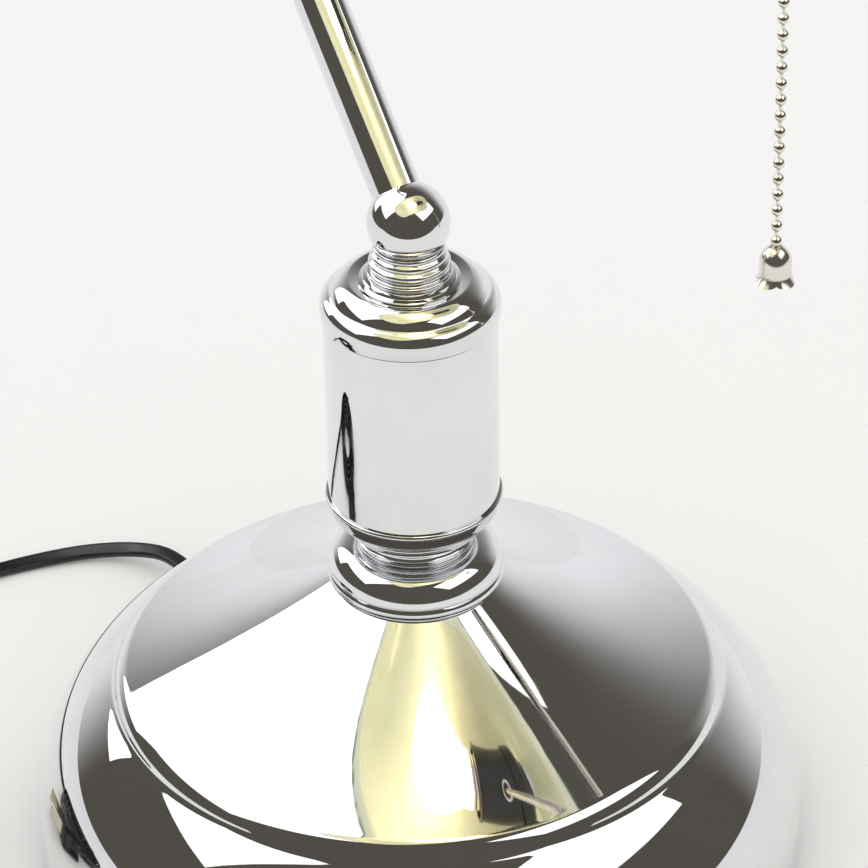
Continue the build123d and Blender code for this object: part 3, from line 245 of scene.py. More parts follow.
def cased_glass():
    """Glass cased in two layers: deep green outside and opal white inside, told apart by the
    mesh's own "inside" attribute. The green varies a little in depth. Both layers carry painted
    light from the bulb: green emission on the outside near the bulb, and an even warm emission on
    the opal inside."""
    material, tree, shader = begin_finish("cased green glass")
    side = node(tree, "ShaderNodeAttribute", attribute_name="inside").outputs["Fac"]
    painted_glow_mask = node(tree, "ShaderNodeAttribute", attribute_name="lit").outputs["Fac"]
    marks = tree.nodes.new("ShaderNodeGroup")
    marks.node_tree = MARKS
    place = node(tree, "ShaderNodeTexCoord").outputs["Object"]
    cloud = node(tree, "ShaderNodeTexNoise", {"Vector": place, "Scale": 14.0, "Detail": 3.0})
    green = mixed(tree, cloud.outputs["Fac"], (0.004, 0.085, 0.032), (0.008, 0.16, 0.06))
    opal = mixed(tree, cloud.outputs["Fac"], (0.73, 0.74, 0.58), (0.81, 0.81, 0.67))
    tree.links.new(mixed(tree, side, green, opal), shader.inputs["Base Color"])
    worn = node(tree, "ShaderNodeMath", {0: marks.outputs["Smudges"], 1: 0.05, 2: 0.06},
                operation="MULTIPLY_ADD")
    tree.links.new(worn.outputs["Value"], shader.inputs["Roughness"])
    # Painted glow on the green outside: emission only near the bulb, where the "lit" mask is high
    painted_glow_colour = mixed(tree, painted_glow_mask, (0.0, 0.0, 0.0), (0.03, 0.55, 0.16))
    # Painted light on the opal inside: an even warm emission standing in for the bulb's light on the inner
    # wall
    tree.links.new(mixed(tree, side, painted_glow_colour, (0.30, 0.29, 0.13)), shader.inputs["Emission Color"])
    shader.inputs["Emission Strength"].default_value = 0.35
    shader.inputs["Coat Weight"].default_value = 0.6
    shader.inputs["Coat Roughness"].default_value = 0.03
    ripple = node(tree, "ShaderNodeBump", {
        "Height": cloud.outputs["Fac"], "Strength": 1.0, "Distance": 0.00025})
    tree.links.new(ripple.outputs["Normal"], shader.inputs["Normal"])
    return material


def lit_bulb():
    """Frosted glass lit warm from inside: brightest over the globe, less towards the neck."""
    material, tree, shader = begin_finish("lit frosted glass")
    place = node(tree, "ShaderNodeTexCoord").outputs["Object"]
    along = node(tree, "ShaderNodeSeparateXYZ", {"Vector": place}).outputs["X"]
    fade = node(tree, "ShaderNodeMapRange", {
        "Value": along, "From Min": 0.010, "From Max": 0.036, "To Min": 1.0, "To Max": 0.35})
    frost = node(tree, "ShaderNodeTexNoise", {"Vector": place, "Scale": 900.0, "Detail": 2.0})
    tint = mixed(tree, fade.outputs["Result"], (0.38, 0.22, 0.09), (1.0, 0.85, 0.56))
    tree.links.new(tint, shader.inputs["Emission Color"])
    shader.inputs["Emission Strength"].default_value = 4.0
    tree.links.new(mixed(tree, frost.outputs["Fac"], (0.90, 0.86, 0.78), (0.97, 0.94, 0.88)),
                   shader.inputs["Base Color"])
    shader.inputs["Roughness"].default_value = 0.35
    return material


green_glass = cased_glass()
bulb_frost = lit_bulb()


# Shape building. An outline is an array of (radius, height) or (x, y) points.
def line(*points):
    """Straight run through the points."""
    return np.array(points, float)


def bow(start, middle, end, count=14):
    """Arc of a circle from start through middle to end: the circle's centre is where the two
    chords' bisectors meet, and its angle runs evenly the way that passes the middle."""
    (ax, ay), (bx, by), (cx, cy) = start, middle, end
    d = 2 * (ax * (by - cy) + bx * (cy - ay) + cx * (ay - by))
    a2, b2, c2 = ax * ax + ay * ay, bx * bx + by * by, cx * cx + cy * cy
    ux = (a2 * (by - cy) + b2 * (cy - ay) + c2 * (ay - by)) / d
    uy = (a2 * (cx - bx) + b2 * (ax - cx) + c2 * (bx - ax)) / d
    first = math.atan2(ay - uy, ax - ux)
    turn = 2 * math.pi
    past = (math.atan2(by - uy, bx - ux) - first) % turn
    whole = (math.atan2(cy - uy, cx - ux) - first) % turn
    if past > whole:
        whole -= turn
    angle = first + np.linspace(0, whole, count)
    radius = math.hypot(ax - ux, ay - uy)
    return np.stack([ux + radius * np.cos(angle), uy + radius * np.sin(angle)], 1)


def trimmed(points, start, end):
    """The run without its first `start` and last `end` of length."""
    length = np.r_[0, np.cumsum(np.hypot(*np.diff(points, axis=0).T))]
    start, end = min(start, 0.4 * length[-1]), length[-1] - min(end, 0.4 * length[-1])
    inner = (length > start + 1e-6) & (length < end - 1e-6)
    at = np.r_[start, length[inner], end]
    return np.stack([np.interp(at, length, points[:, 0]), np.interp(at, length, points[:, 1])], 1)


def outline(runs, ease=0.2, closed=True):
    """Joins runs end to end. Each corner is eased: it becomes the parabola that leaves one run and
    meets the next at the length `ease` from the corner."""
    count = len(runs)
    eased = [
        trimmed(points, ease if closed or i else 0, ease if closed or i < count - 1 else 0)
        for i, points in enumerate(runs)
    ]
    t = np.linspace(0, 1, 6)[1:-1, None]
    out = []
    for i in range(count):
        out.append(eased[i])
        if closed or i < count - 1:
            a, corner, b = eased[i][-1], runs[i][-1], eased[(i + 1) % count][0]
            out.append((1 - t) ** 2 * a + 2 * t * (1 - t) * corner + t * t * b)
    return np.concatenate(out)


def skin(name, grid, body, material, nodes=(), along=True, sharp=32.0,
         attributes=None):
    """Mesh piece from a grid of points in mm. Each row is joined to the next, and the last to the
    first when `along`. The last column is joined to the first. Points that meet are merged."""
    rows, columns = grid.shape[:2]
    index = np.arange(rows * columns).reshape(rows, columns)
    if along:
        index = np.concatenate([index, index[:1]])
    index = np.concatenate([index, index[:, :1]], 1)
    quads = np.stack([index[:-1, :-1], index[:-1, 1:], index[1:, 1:], index[1:, :-1]], -1)
    mesh = bpy.data.meshes.new(name)
    mesh.from_pydata((grid.reshape(-1, 3) * MM).tolist(), [], quads.reshape(-1, 4).tolist())
    for key, values in (attributes or {}).items():
        layer = mesh.attributes.new(key, "FLOAT", "POINT")
        layer.data.foreach_set("value", np.ascontiguousarray(values, np.float32).ravel())
    return fitted(name, mesh, body, material, nodes, sharp)


def fitted(name, mesh, body, material, nodes=(), sharp=32.0):
    """Closes and smooths a mesh, puts it in the scene, rides it and lets it stand for CAD nodes."""
    shape = bmesh.new()
    shape.from_mesh(mesh)
    bmesh.ops.remove_doubles(shape, verts=shape.verts, dist=2e-6)
    bmesh.ops.recalc_face_normals(shape, faces=shape.faces)
    shape.to_mesh(mesh)
    shape.free()
    mesh.shade_smooth()
    mesh.set_sharp_from_angle(angle=math.radians(sharp))
    mesh.materials.append(material)
    piece = bpy.data.objects.new(name, mesh)
    scene.collection.objects.link(piece)
    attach(piece, body)
    if nodes:
        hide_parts(*nodes)
    return piece


def turned(name, profile, body, material, nodes=(), origin=(0, 0, 0), axis="Z",
           steps=160, closed=True, sharp=32.0):
    """Turned piece: each (radius, height) of the profile goes round the axis in even steps."""
    angle = np.linspace(0, 2 * np.pi, steps, endpoint=False)
    radius, height = profile[:, :1], profile[:, 1:]
    c, s, h = radius * np.cos(angle), radius * np.sin(angle), height + 0 * angle
    order = {"Z": (c, s, h), "X": (h, c, s)}[axis]
    grid = np.stack(order, -1) + np.array(origin, float)
    return skin(name, grid, body, material, nodes, along=closed, sharp=sharp)


def dressed(node_name, body, material, sharp=30.0):
    """A CAD piece's own surface, merged and smoothed, in a better finish."""
    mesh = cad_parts[node_name].data.copy()
    mesh.materials.clear()
    return fitted(node_name + "_dressed", mesh, body, material, (node_name,), sharp)


# Cord first. The route's points are the part's own, in metres, a little lower because the flat flex
# lies nearer the table than the part's round tube. The coil's points follow by turns.
ROUTE = [
    (-0.00207, 0.11858, 0.0072), (-0.00227, 0.13008, 0.0072), (-0.0068, 0.1413, 0.0044),
    (-0.0168, 0.1501, 0.0024), (-0.0290, 0.1545, 0.0017), (-0.0442, 0.1571, 0.0015),
    (-0.0604, 0.1584, 0.0017), (-0.0775, 0.1583, 0.0020), (-0.0949, 0.1569, 0.0023),
    (-0.1127, 0.1542, 0.0026), (-0.1290, 0.1505, 0.0028), (-0.1430, 0.1470, 0.0030),
]
COIL_X = -0.162
COIL_START = 0.147
COIL_RADIUS = 0.037
COIL_PITCH = 0.00495
COIL_HALF_TURNS = 9
LAYER_ONE = 0.0030
LAYER_TWO = LAYER_ONE + COIL_PITCH
PER_HALF_TURN = 8
RUN_TO_PLUG = (0.008, 0.016)

# Twist of the flex, in degrees at these lengths in mm along it
TWIST_AT = [0, 30, 60, 90, 150]
TWIST = [-10, -30, -20, 30, 90]


def coil_points():
    """Control points of the coil: eight to a half turn, at even angles and a little outside its
    circle, half turns in a spiral going in, one climbing half turn, and half turns going out."""
    spread = math.pi / PER_HALF_TURN
    outside = 1 / (0.75 + 0.25 * math.cos(spread))
    radii = [COIL_RADIUS - COIL_PITCH / 2 * k for k in range(COIL_HALF_TURNS)]
    plan = [(r, LAYER_ONE, LAYER_ONE) for r in radii]
    plan.append((COIL_RADIUS - COIL_PITCH / 2 * COIL_HALF_TURNS, LAYER_ONE, LAYER_TWO))
    plan += [(r, LAYER_TWO, LAYER_TWO) for r in reversed(radii)]
    place, side, points = COIL_START, 1, []
    for radius, low, high in plan:
        for k in range(PER_HALF_TURN):
            angle = (k + 0.5) * spread
            points.append((
                COIL_X - side * radius * outside * math.sin(angle),
                place - side * radius + side * radius * outside * math.cos(angle),
                low + (high - low) * (k + 0.5) / PER_HALF_TURN,
            ))
        place -= 2 * side * radius
        side = -side
    return points, place


turns, cord_end_y = coil_points()
to_plug = [(COIL_X + ahead, cord_end_y, LAYER_TWO) for ahead in RUN_TO_PLUG]
cord_points = ROUTE + turns + to_plug
cord_curve = bpy.data.curves.new("cord_line", "CURVE")
cord_curve.dimensions = "3D"
cord_curve.resolution_u = 5
spline = cord_curve.splines.new("NURBS")
spline.points.add(len(cord_points) - 1)
spline.points.foreach_set("co", np.c_[np.array(cord_points), np.ones(len(cord_points))].ravel())
spline.order_u = 3
spline.use_endpoint_u = True
spline.resolution_u = 5
line_object = bpy.data.objects.new("cord_line", cord_curve)
scene.collection.objects.link(line_object)
bpy.context.view_layer.update()
line_mesh = bpy.data.meshes.new_from_object(line_object)
cord_path = np.zeros(len(line_mesh.vertices) * 3)
line_mesh.vertices.foreach_get("co", cord_path)
cord_path = cord_path.reshape(-1, 3)
bpy.data.objects.remove(line_object)
bpy.data.meshes.remove(line_mesh)


def flex_section(count=20):
    """Twin flex, 4.4 by 2.5 mm: x is two lobes apart, y is a circle drawn in at the middle."""
    t = np.linspace(0, 2 * np.pi, count, endpoint=False)
    x = 0.95 * np.tanh(3 * np.cos(t)) + 1.25 * np.cos(t)
    y = 1.25 * np.sin(t) * (1 - 0.22 * np.exp(-(np.cos(t) / 0.3) ** 2))
    return x, y


def flex_skin(path):
    """The flex carried along the path. Its flat side leans by up to 30 degrees near the lamp, and it
    twists to stand on edge in the coil."""
    points = path / MM
    ahead = np.gradient(points, axis=0)
    ahead /= np.linalg.norm(ahead, axis=1)[:, None]
    beside = np.cross([0, 0, 1.0], ahead)
    beside /= np.linalg.norm(beside, axis=1)[:, None]
    above = np.cross(ahead, beside)
    length = np.r_[0, np.cumsum(np.linalg.norm(np.diff(points, axis=0), axis=1))]
    twist = np.interp(length, TWIST_AT, np.radians(TWIST))[:, None, None]
    x, y = flex_section()
    wide = beside[:, None] * np.cos(twist) + above[:, None] * np.sin(twist)
    thin = above[:, None] * np.cos(twist) - beside[:, None] * np.sin(twist)
    grid = points[:, None] + wide * x[None, :, None] + thin * y[None, :, None]
    caps = [grid[:1] * 0 + points[0], grid, grid[:1] * 0 + points[-1]]
    return np.concatenate(caps)


cord = skin("mains_cord", flex_skin(cord_path), "base", black_vinyl,
            ("cord_tube", "cord_coil"), along=False, sharp=60.0)

# Plug and tie on the cord
plug = dressed("plug_body", "base", black_vinyl)
blades = dressed("plug_blades", "base", blade_brass)
tie = dressed("cord_tie", "base", tie_vinyl)


# Base: the spun shell's outline is closed, outside first and then back along the inside
def shoulder(radius, wall=0.0):
    """Point of the round shoulder at that radius, or of its inside when a wall is given."""
    reach = SHOULDER_RADIUS - wall
    return radius, SHOULDER_FOOT + math.sqrt(reach**2 - (radius - SHOULDER_CENTRE) ** 2)


# The ridge is a step: it rounds over from the slope's end to its steep side, and in to its foot
slope_end = (72.4, 54.5)
ridge_side = (75.6, 51.13)
ridge_foot = (76.95, 49.4)
inner_start = shoulder(75.8, 1.8)
shoulder_end = (BASE_RADIUS, SHOULDER_FOOT)
inner_end = (BASE_RADIUS - BASE_WALL, SHOULDER_FOOT)
base_runs = [
    line((5.2, 80.8), (20.5, 80.8)),
    bow((20.5, 80.8), (46.05, 65.6), slope_end, 60),
    bow(slope_end, (74.36, 53.16), ridge_side, 16),
    bow(ridge_side, (76.13, 50.14), ridge_foot, 12),
    bow(ridge_foot, shoulder(90.0), shoulder_end, 60),
    line(shoulder_end, (96.1, 3.1)),
    bow((96.1, 3.1), (95.62, 1.96), (94.5, 1.5), 8),
    line((94.5, 1.5), (91.0, 1.5), (91.0, 2.7), (94.9, 2.7), inner_end),
    bow(inner_end, shoulder(89.0, BASE_WALL), inner_start, 24),
    line(inner_start, (74.0, 50.7)),
    bow((74.0, 50.7), (46.05, 64.04), (20.5, 79.45), 24),
    line((20.5, 79.45), (5.2, 79.45), (5.2, 80.8)),
]
turned("base_spinning", outline(base_runs, 0.25), "base", chrome, ("base_shell",), steps=256)


# Stem: collar, neck, cup, sleeve, cap and throat, each a turned ring with a bore
BORE = 5.15
turned("collar_ring", outline([
    line((BORE, 80.8), (20.5, 80.8)),
    bow((20.5, 80.8), (21.75, 82.4), (21.1, 83.9)),
    line((21.1, 83.9), (21.6, 84.3)),
    bow((21.6, 84.3), (19.73, 89.24), (14.4, 91.4), 24),
    line((14.4, 91.4), (BORE, 91.4), (BORE, 80.8)),
], 0.15), "base", chrome, ("collar",))

turned("waist_ring", outline([
    line((BORE, 91.4), (14.1, 91.4)),
    bow((14.1, 91.4), (14.4, 92.0), (14.0, 92.6)),
    bow((14.0, 92.6), (13.2, 93.6), (15.0, 95.3)),
    line((15.0, 95.3), (15.0, 96.2), (BORE, 96.2), (BORE, 91.4)),
], 0.12), "base", chrome, ("lower_neck",))

turned("cup_ring", outline([
    line((BORE, 96.2), (16.2, 96.2), (16.6, 96.6), (16.6, 97.7)),
    line((16.6, 97.7), (17.4, 98.0)),
    bow((17.4, 98.0), (17.9, 98.7), (17.6, 99.4)),
    bow((17.6, 99.4), (19.7, 100.6), (20.7, 102.4)),
    line((20.7, 102.4), (21.1, 104.5)),
    bow((21.1, 104.5), (21.7, 105.3), (21.3, 106.0)),
    line((21.3, 106.0), (20.95, 106.0), (20.95, 104.7), (BORE, 104.7), (BORE, 96.2)),
], 0.12), "base", chrome, ("lower_cup",))

turned("sleeve_tube", outline([
    line((19.9, 104.7), (20.9, 104.7)),
    line((20.9, 104.7), (20.9, 158.0)),
    line((20.9, 158.0), (19.9, 158.0)),
    line((19.9, 158.0), (19.9, 104.7)),
], 0.1), "base", chrome, ("sleeve",), steps=200)

turned("dome_cap", outline([
    line((21.0, 155.8), (21.4, 155.8), (21.55, 156.1), (21.55, 158.9)),
    bow((21.55, 158.9), (20.95, 161.0), (19.3, 162.3)),
    line((19.3, 162.3), (18.9, 162.6)),
    bow((18.9, 162.6), (17.2, 164.85), (14.6, 166.1), 20),
    bow((14.6, 166.1), (13.2, 165.85), (12.2, 165.6)),
    line((12.2, 165.6), (BORE, 165.6), (BORE, 163.1), (17.0, 161.1), (17.0, 158.0), (21.0, 158.0),
         (21.0, 155.8)),
], 0.15), "base", chrome, ("top_cap",), steps=200)

turned("ringed_throat", outline([
    line((BORE, 165.6), (12.0, 165.6), (12.1, 166.1), (11.2, 166.4)),
    line((11.2, 166.4), (11.0, 167.1), (10.0, 167.4)),
    bow((10.0, 167.4), (10.25, 168.0), (9.9, 168.5)),
    bow((9.9, 168.5), (8.95, 169.3), (9.5, 170.1)),
    bow((9.5, 170.1), (9.75, 170.8), (9.2, 171.5)),
    line((9.2, 171.5), (8.75, 171.9)),
    bow((8.75, 171.9), (9.15, 172.7), (8.7, 173.5)),
    line((8.7, 173.5), (8.3, 173.9)),
    bow((8.3, 173.9), (8.65, 174.5), (8.3, 175.2)),
    line((8.3, 175.2), (8.2, 175.2), (6.4, 172.9), (4.0, 171.0), (3.4, 171.0), (3.4, 169.2),
         (BORE, 169.2), (BORE, 165.6)),
], 0.1), "base", chrome, ("upper_neck",))

turned("felt_foot", outline([
    line((0.0, 0.0), (93.7, 0.0)), line((93.7, 0.0), (94.0, 1.5)), line((94.0, 1.5), (0.0, 1.5)),
], 0.3, closed=False), "base", felt, ("foot_pad",), steps=128, closed=False)


def relief_grid():
    """The relief about the cord's way out: a plug, a flange, and a tail whose radius falls evenly
    and is cut by seven round grooves."""
    along = np.r_[-4.5, -4.5, 0.0, 0.0, 0.3, 1.7, 2.0, 2.0, np.linspace(2.1, 21.9, 120), 22.0, 22.0]
    radius = np.r_[0.0, 4.2, 4.2, 5.7, 6.0, 6.0, 5.7, 4.2, np.zeros(120), 2.7, 0.0]
    tail = slice(8, 128)
    t = (along[tail] - 2.0) / 20.0
    groove = np.clip(np.cos(t * 14 * np.pi) - 0.2, 0, 1) * np.clip(np.minimum(t, 1 - t) * 8, 0, 1)
    radius[tail] = 4.2 - 1.5 * t - 0.45 * groove
    out = np.array([math.cos(EXIT_WAY), math.sin(EXIT_WAY), 0.0])
    beside = np.array([out[1], -out[0], 0.0])
    angle = np.linspace(0, 2 * np.pi, 48, endpoint=False)
    ring = np.cos(angle)[:, None] * beside + np.sin(angle)[:, None] * np.array([0, 0, 1.0])
    centre = out * (BASE_RADIUS + along)[:, None] + np.array([0, 0, EXIT_HEIGHT])
    return centre[:, None] + radius[:, None, None] * ring[None]


skin("ribbed_relief", relief_grid(), "base", black_vinyl, ("cord_relief",), along=False)


# Arm: the ball bored for the tube, and the tube bent once between two straight ends
def ball_grid():
    """Sphere about the arm's line: from the far pole to the bore's edge, down the bore's wall to
    its floor, and in to the line."""
    rim = math.asin(6.12 / 9.9)
    polar = np.linspace(np.pi, rim + 0.02, 70)
    radius = np.r_[9.9 * np.sin(polar), 6.12, 6.12, 0.0]
    height = np.r_[9.9 * np.cos(polar), 9.9 * math.cos(rim) - 0.25, 3.0, 3.0]
    lean = np.array([0, math.sin(ARM_LEAN), math.cos(ARM_LEAN)])
    across = np.array([1.0, 0, 0])
    third = np.cross(lean, across)
    angle = np.linspace(0, 2 * np.pi, 128, endpoint=False)
    ring = np.cos(angle)[:, None] * across + np.sin(angle)[:, None] * third
    return (np.array([0, 0, BALL_HEIGHT]) + height[:, None, None] * lean
            + radius[:, None, None] * ring[None])


skin("swivel_sphere", ball_grid(), "arm", chrome, ("swivel_ball",), along=False)

STRAIGHT = 124.0
TAIL = 26.0
ARM_END = 14.0
bend_start = np.array([STRAIGHT * math.sin(ARM_LEAN), BALL_HEIGHT + STRAIGHT * math.cos(ARM_LEAN)])
to_knuckle = np.array([-SHADE_FORWARD, KNUCKLE_HEIGHT]) - bend_start
inward = np.array([-math.cos(ARM_LEAN), math.sin(ARM_LEAN)])
bend_radius = (to_knuckle @ to_knuckle - TAIL**2) / (2 * to_knuckle @ inward)
bend_centre = bend_start + bend_radius * inward
toward = np.array([-SHADE_FORWARD, KNUCKLE_HEIGHT]) - bend_centre
bend_end_angle = math.atan2(toward[1], toward[0]) - math.atan2(TAIL, bend_radius)
tail_way = np.array([-math.sin(bend_end_angle), math.cos(bend_end_angle)])


def arm_grid():
    """Tube along the path in the plane of the arm: a straight run, an arc whose angle runs evenly,
    and a straight tail. The outer skin goes up and the inner skin comes back down."""
    start = np.array([3 * math.sin(ARM_LEAN), BALL_HEIGHT + 3 * math.cos(ARM_LEAN)])
    first = start + np.linspace(0, 1, 24)[:, None] * (bend_start - start)
    angle = np.linspace(-ARM_LEAN, bend_end_angle, 140)[1:]
    bend = bend_centre + bend_radius * np.stack([np.cos(angle), np.sin(angle)], 1)
    last = bend[-1] + np.linspace(0, TAIL - ARM_END, 6)[1:, None] * tail_way
    path = np.concatenate([first, bend, last])
    ahead = np.gradient(path, axis=0)
    ahead /= np.hypot(*ahead.T)[:, None]
    side = np.stack([-ahead[:, 1], ahead[:, 0]], 1)
    t = np.linspace(0, 2 * np.pi, 72, endpoint=False)

    def tube(radius, line_points, line_side):
        grid = np.zeros((len(line_points), len(t), 3))
        grid[..., 0] = radius * np.cos(t)
        grid[..., 1:] = line_points[:, None] + radius * np.sin(t)[None, :, None] * line_side[:, None]
        return grid

    return np.concatenate([tube(6.0, path, side), tube(5.0, path, side)[::-1]])


skin("swan_neck", arm_grid(), "arm", chrome, ("arm_tube",))
dressed("arm_knuckle", "arm", chrome)
dressed("knuckle_screw", "arm", chrome)
dressed("thumb_nut", "arm", chrome)
dressed("shade_knuckle", "shade", chrome)


# Shade: the wall's outline carried round a rounded rectangle
def glass_outline():
    """Wall as (reach, height) from the crown's edge out, round the rim and back inside."""
    def ellipse(reach, rise, first, last, count):
        angle = np.linspace(first, last, count) * math.pi / 180
        return np.stack([4 + (reach - 4) * np.cos(angle), rim_top + rise * np.sin(angle)], 1)

    rim_top = SHADE_MOUTH + 9.0
    outer = [
        line((0.0, GLASS_TOP), (4.0, GLASS_TOP)),
        ellipse(50, 65, 90, 0, 40),
        bow((50, rim_top), (51.1, SHADE_MOUTH + 4.5), (53.5, SHADE_MOUTH + 1.6), 8),
        bow((53.5, SHADE_MOUTH + 1.6), (54.5, SHADE_MOUTH + 0.7), (53.6, SHADE_MOUTH), 6),
    ]
    inner = [
        line((53.6, SHADE_MOUTH), (51.5, SHADE_MOUTH)),
        bow((51.5, SHADE_MOUTH), (47.2, SHADE_MOUTH + 4.5), (46.5, rim_top), 8),
        ellipse(46.5, 61.5, 0, 90, 32),
        line((4.0, GLASS_TOP - 3.5), (0.0, GLASS_TOP - 3.5)),
    ]
    return outline(outer, 0.3, closed=False), outline(inner, 0.3, closed=False)


def shade_grid():
    """For each column, a corner's centre and a direction: the corner's centre slides along a
    straight side, then the direction turns a quarter about it. Each wall point lies out from the
    centre by its reach, and the crown's plate shrinks in to the round hole for the nipple."""
    half_x, half_y = 78.0, 12.0
    centres, angles = [], []
    corners = [(half_x, -half_y), (half_x, half_y), (-half_x, half_y), (-half_x, -half_y)]
    for k in range(4):
        a, b = np.array(corners[k]), np.array(corners[(k + 1) % 4])
        slides = 8 if k % 2 == 0 else 40
        for t in np.linspace(0, 1, slides, endpoint=False):
            centres.append(a + t * (b - a))
            angles.append(k * 90.0)
        for t in np.linspace(0, 90, 28, endpoint=False):
            centres.append(b)
            angles.append(k * 90.0 + t)
    centres, angles = np.array(centres), np.radians(angles)
    way = np.stack([np.cos(angles), np.sin(angles)], 1)
    outer, inner = glass_outline()

    def wall(profile):
        flat = centres[None] + profile[:, :1, None] * way[None]
        return np.concatenate([flat, np.broadcast_to(profile[:, 1:, None], flat[..., :1].shape)], -1)

    hole = 5.5 * centres / np.linalg.norm(centres, axis=1)[:, None]

    def plate(height):
        shrink = np.linspace(1, 0, 8)[1:, None, None]
        flat = shrink * centres[None] + (1 - shrink) * hole[None]
        return np.concatenate([flat, np.full(flat[..., :1].shape, height)], -1)

    parts = [plate(GLASS_TOP)[::-1], wall(outer), wall(inner), plate(GLASS_TOP - 3.5)]
    grid = np.concatenate(parts)
    inside = np.concatenate([np.zeros(7 + len(outer)), np.ones(len(inner) + 7)])
    inside = np.repeat(inside[:, None], len(centres), 1)
    # Painted glow mask: brightest round the bulb and fading away from it, for the glass's painted green
    # glow
    lit = np.exp(-((grid[..., 0] + 6) / 62) ** 2) * np.exp(-((grid[..., 2] - 360) / 34) ** 2)
    grid[..., 1] -= SHADE_FORWARD
    return grid, inside, lit


shade_points, shade_inside, shade_painted_glow = shade_grid()
skin("cased_shade", shade_points, "shade", green_glass, ("shade_glass",), sharp=60.0,
     attributes={"inside": shade_inside, "lit": shade_painted_glow})

over_shade = (0, -SHADE_FORWARD, GLASS_TOP)
turned("dished_cap", outline([
    line((4.9, 1.2), (13.4, 1.2), (19.2, 0.35)),
    line((19.2, 0.35), (20.0, 0.6)),
    bow((20.0, 0.6), (16.0, 3.0), (8.0, 5.5), 20),
    line((8.0, 5.5), (4.9, 5.5), (4.9, 1.2)),
], 0.2), "shade", chrome, ("shade_cap",), origin=over_shade, steps=128)
dressed("shade_gaskets", "shade", gasket_rubber)
for name in ("shade_nipple", "shade_locknut", "socket_bracket", "holder_nipple", "holder_locknut"):
    dressed(name, "shade", zinc_steel)

# Lampholder and bulb, about the line along X through the lampholder
holder_line = (HOLDER_START, -SHADE_FORWARD, HOLDER_HEIGHT)
turned("holder_back_shell", outline([
    line((17.5, 44.0), (18.7, 44.0)), line((18.7, 44.0), (18.7, 53.2)),
    bow((18.7, 53.2), (15.1, 57.8), (9.0, 60.2), 18),
    line((9.0, 60.2), (8.2, 62.2), (4.85, 62.2), (4.85, 58.2), (9.0, 58.2)),
    bow((9.0, 58.2), (13.9, 56.2), (16.9, 52.6)),
    line((16.9, 52.6), (16.9, 48.0), (17.5, 48.0), (17.5, 44.0)),
], 0.2), "shade", black_phenolic, ("holder_cap",), origin=holder_line, axis="X")
turned("holder_front_shell", outline([
    line((16.1, 4.0), (17.5, 4.0)), bow((17.5, 4.0), (18.4, 5.2), (17.45, 6.6)),
    line((17.45, 6.6), (17.45, 47.8)), line((17.45, 47.8), (16.1, 47.8), (16.1, 4.0)),
], 0.2), "shade", black_phenolic, ("holder_shell",), origin=holder_line, axis="X")
dressed("switch_core", "shade", black_phenolic)
dressed("screw_shell", "shade", brass)
dressed("centre_contact", "shade", brass)
dressed("bulb_contact", "shade", cap_aluminium)

turned("bulb_globe", outline([
    line((0.0, -74.0), (2.5, -74.0)),
    bow((2.5, -74.0), (22.4, -62.8), (26.32, -36.48), 48),
    bow((26.32, -36.48), (20.8, -24.0), (15.1, -12.0), 24),
    line((15.1, -12.0), (13.6, -2.0)),
    line((13.6, -2.0), (0.0, -2.0)),
], 0.4, closed=False), "shade", bulb_frost, ("bulb_glass",), origin=holder_line,
    axis="X", steps=128, closed=False, sharp=50.0)


def thread_grid():
    """Screw cap as one rolled thread: the radius is a wave that moves on by one pitch a turn, and
    fades out at both ends."""
    x = np.linspace(-2.0, 16.0, 150)[:, None]
    angle = np.linspace(0, 2 * np.pi, 96, endpoint=False)[None]
    fade = np.clip((x + 1.0) / 2.5, 0, 1) * np.clip((15.8 - x) / 2.0, 0, 1)
    wave = np.cos(2 * np.pi * x / 3.6 - angle) * 0.42 * fade
    radius = 12.75 + wave
    shell = np.stack([x + 0 * angle, radius * np.cos(angle), radius * np.sin(angle)], -1)

    def ring(position, size):
        return np.stack([position + 0 * angle, size * np.cos(angle), size * np.sin(angle)], -1)

    grid = np.concatenate([ring(-2.0, 0.0), ring(-2.0, 12.6), shell, ring(16.4, 12.2), ring(18.0, 6.0),
                           ring(18.0, 0.0)])
    return grid + np.array(holder_line, float)


skin("rolled_thread", thread_grid(), "shade", cap_aluminium, ("bulb_cap",), along=False)

# Pull chain: guide, hollow beads on a wire, and the bell
on_chain = (CHAIN_X, -SHADE_FORWARD, 0)
at_guide = (CHAIN_X, -SHADE_FORWARD, SHADE_MOUTH + 6.7)
turned("flared_guide", outline([
    line((2.3, 6.4), (3.2, 6.4)), line((3.2, 6.4), (3.2, 2.2)),
    bow((3.2, 2.2), (3.6, 0.8), (4.5, 0.0)), line((4.5, 0.0), (3.6, 0.0)),
    bow((3.6, 0.0), (2.7, 1.0), (2.3, 2.6)), line((2.3, 2.6), (2.3, 6.4)),
], 0.1), "shade", satin_nickel, ("chain_guide",), origin=at_guide, steps=64)
dressed("switch_slider", "switch", bright_nickel)

BEAD_RADIUS = 1.42
BEAD_PITCH = 4.2
BEADS = 37
BELL_HEIGHT = 9.4
PETAL_TURN = math.radians(15.0)
first_bead = BELL_BOTTOM + BELL_HEIGHT + BEAD_RADIUS


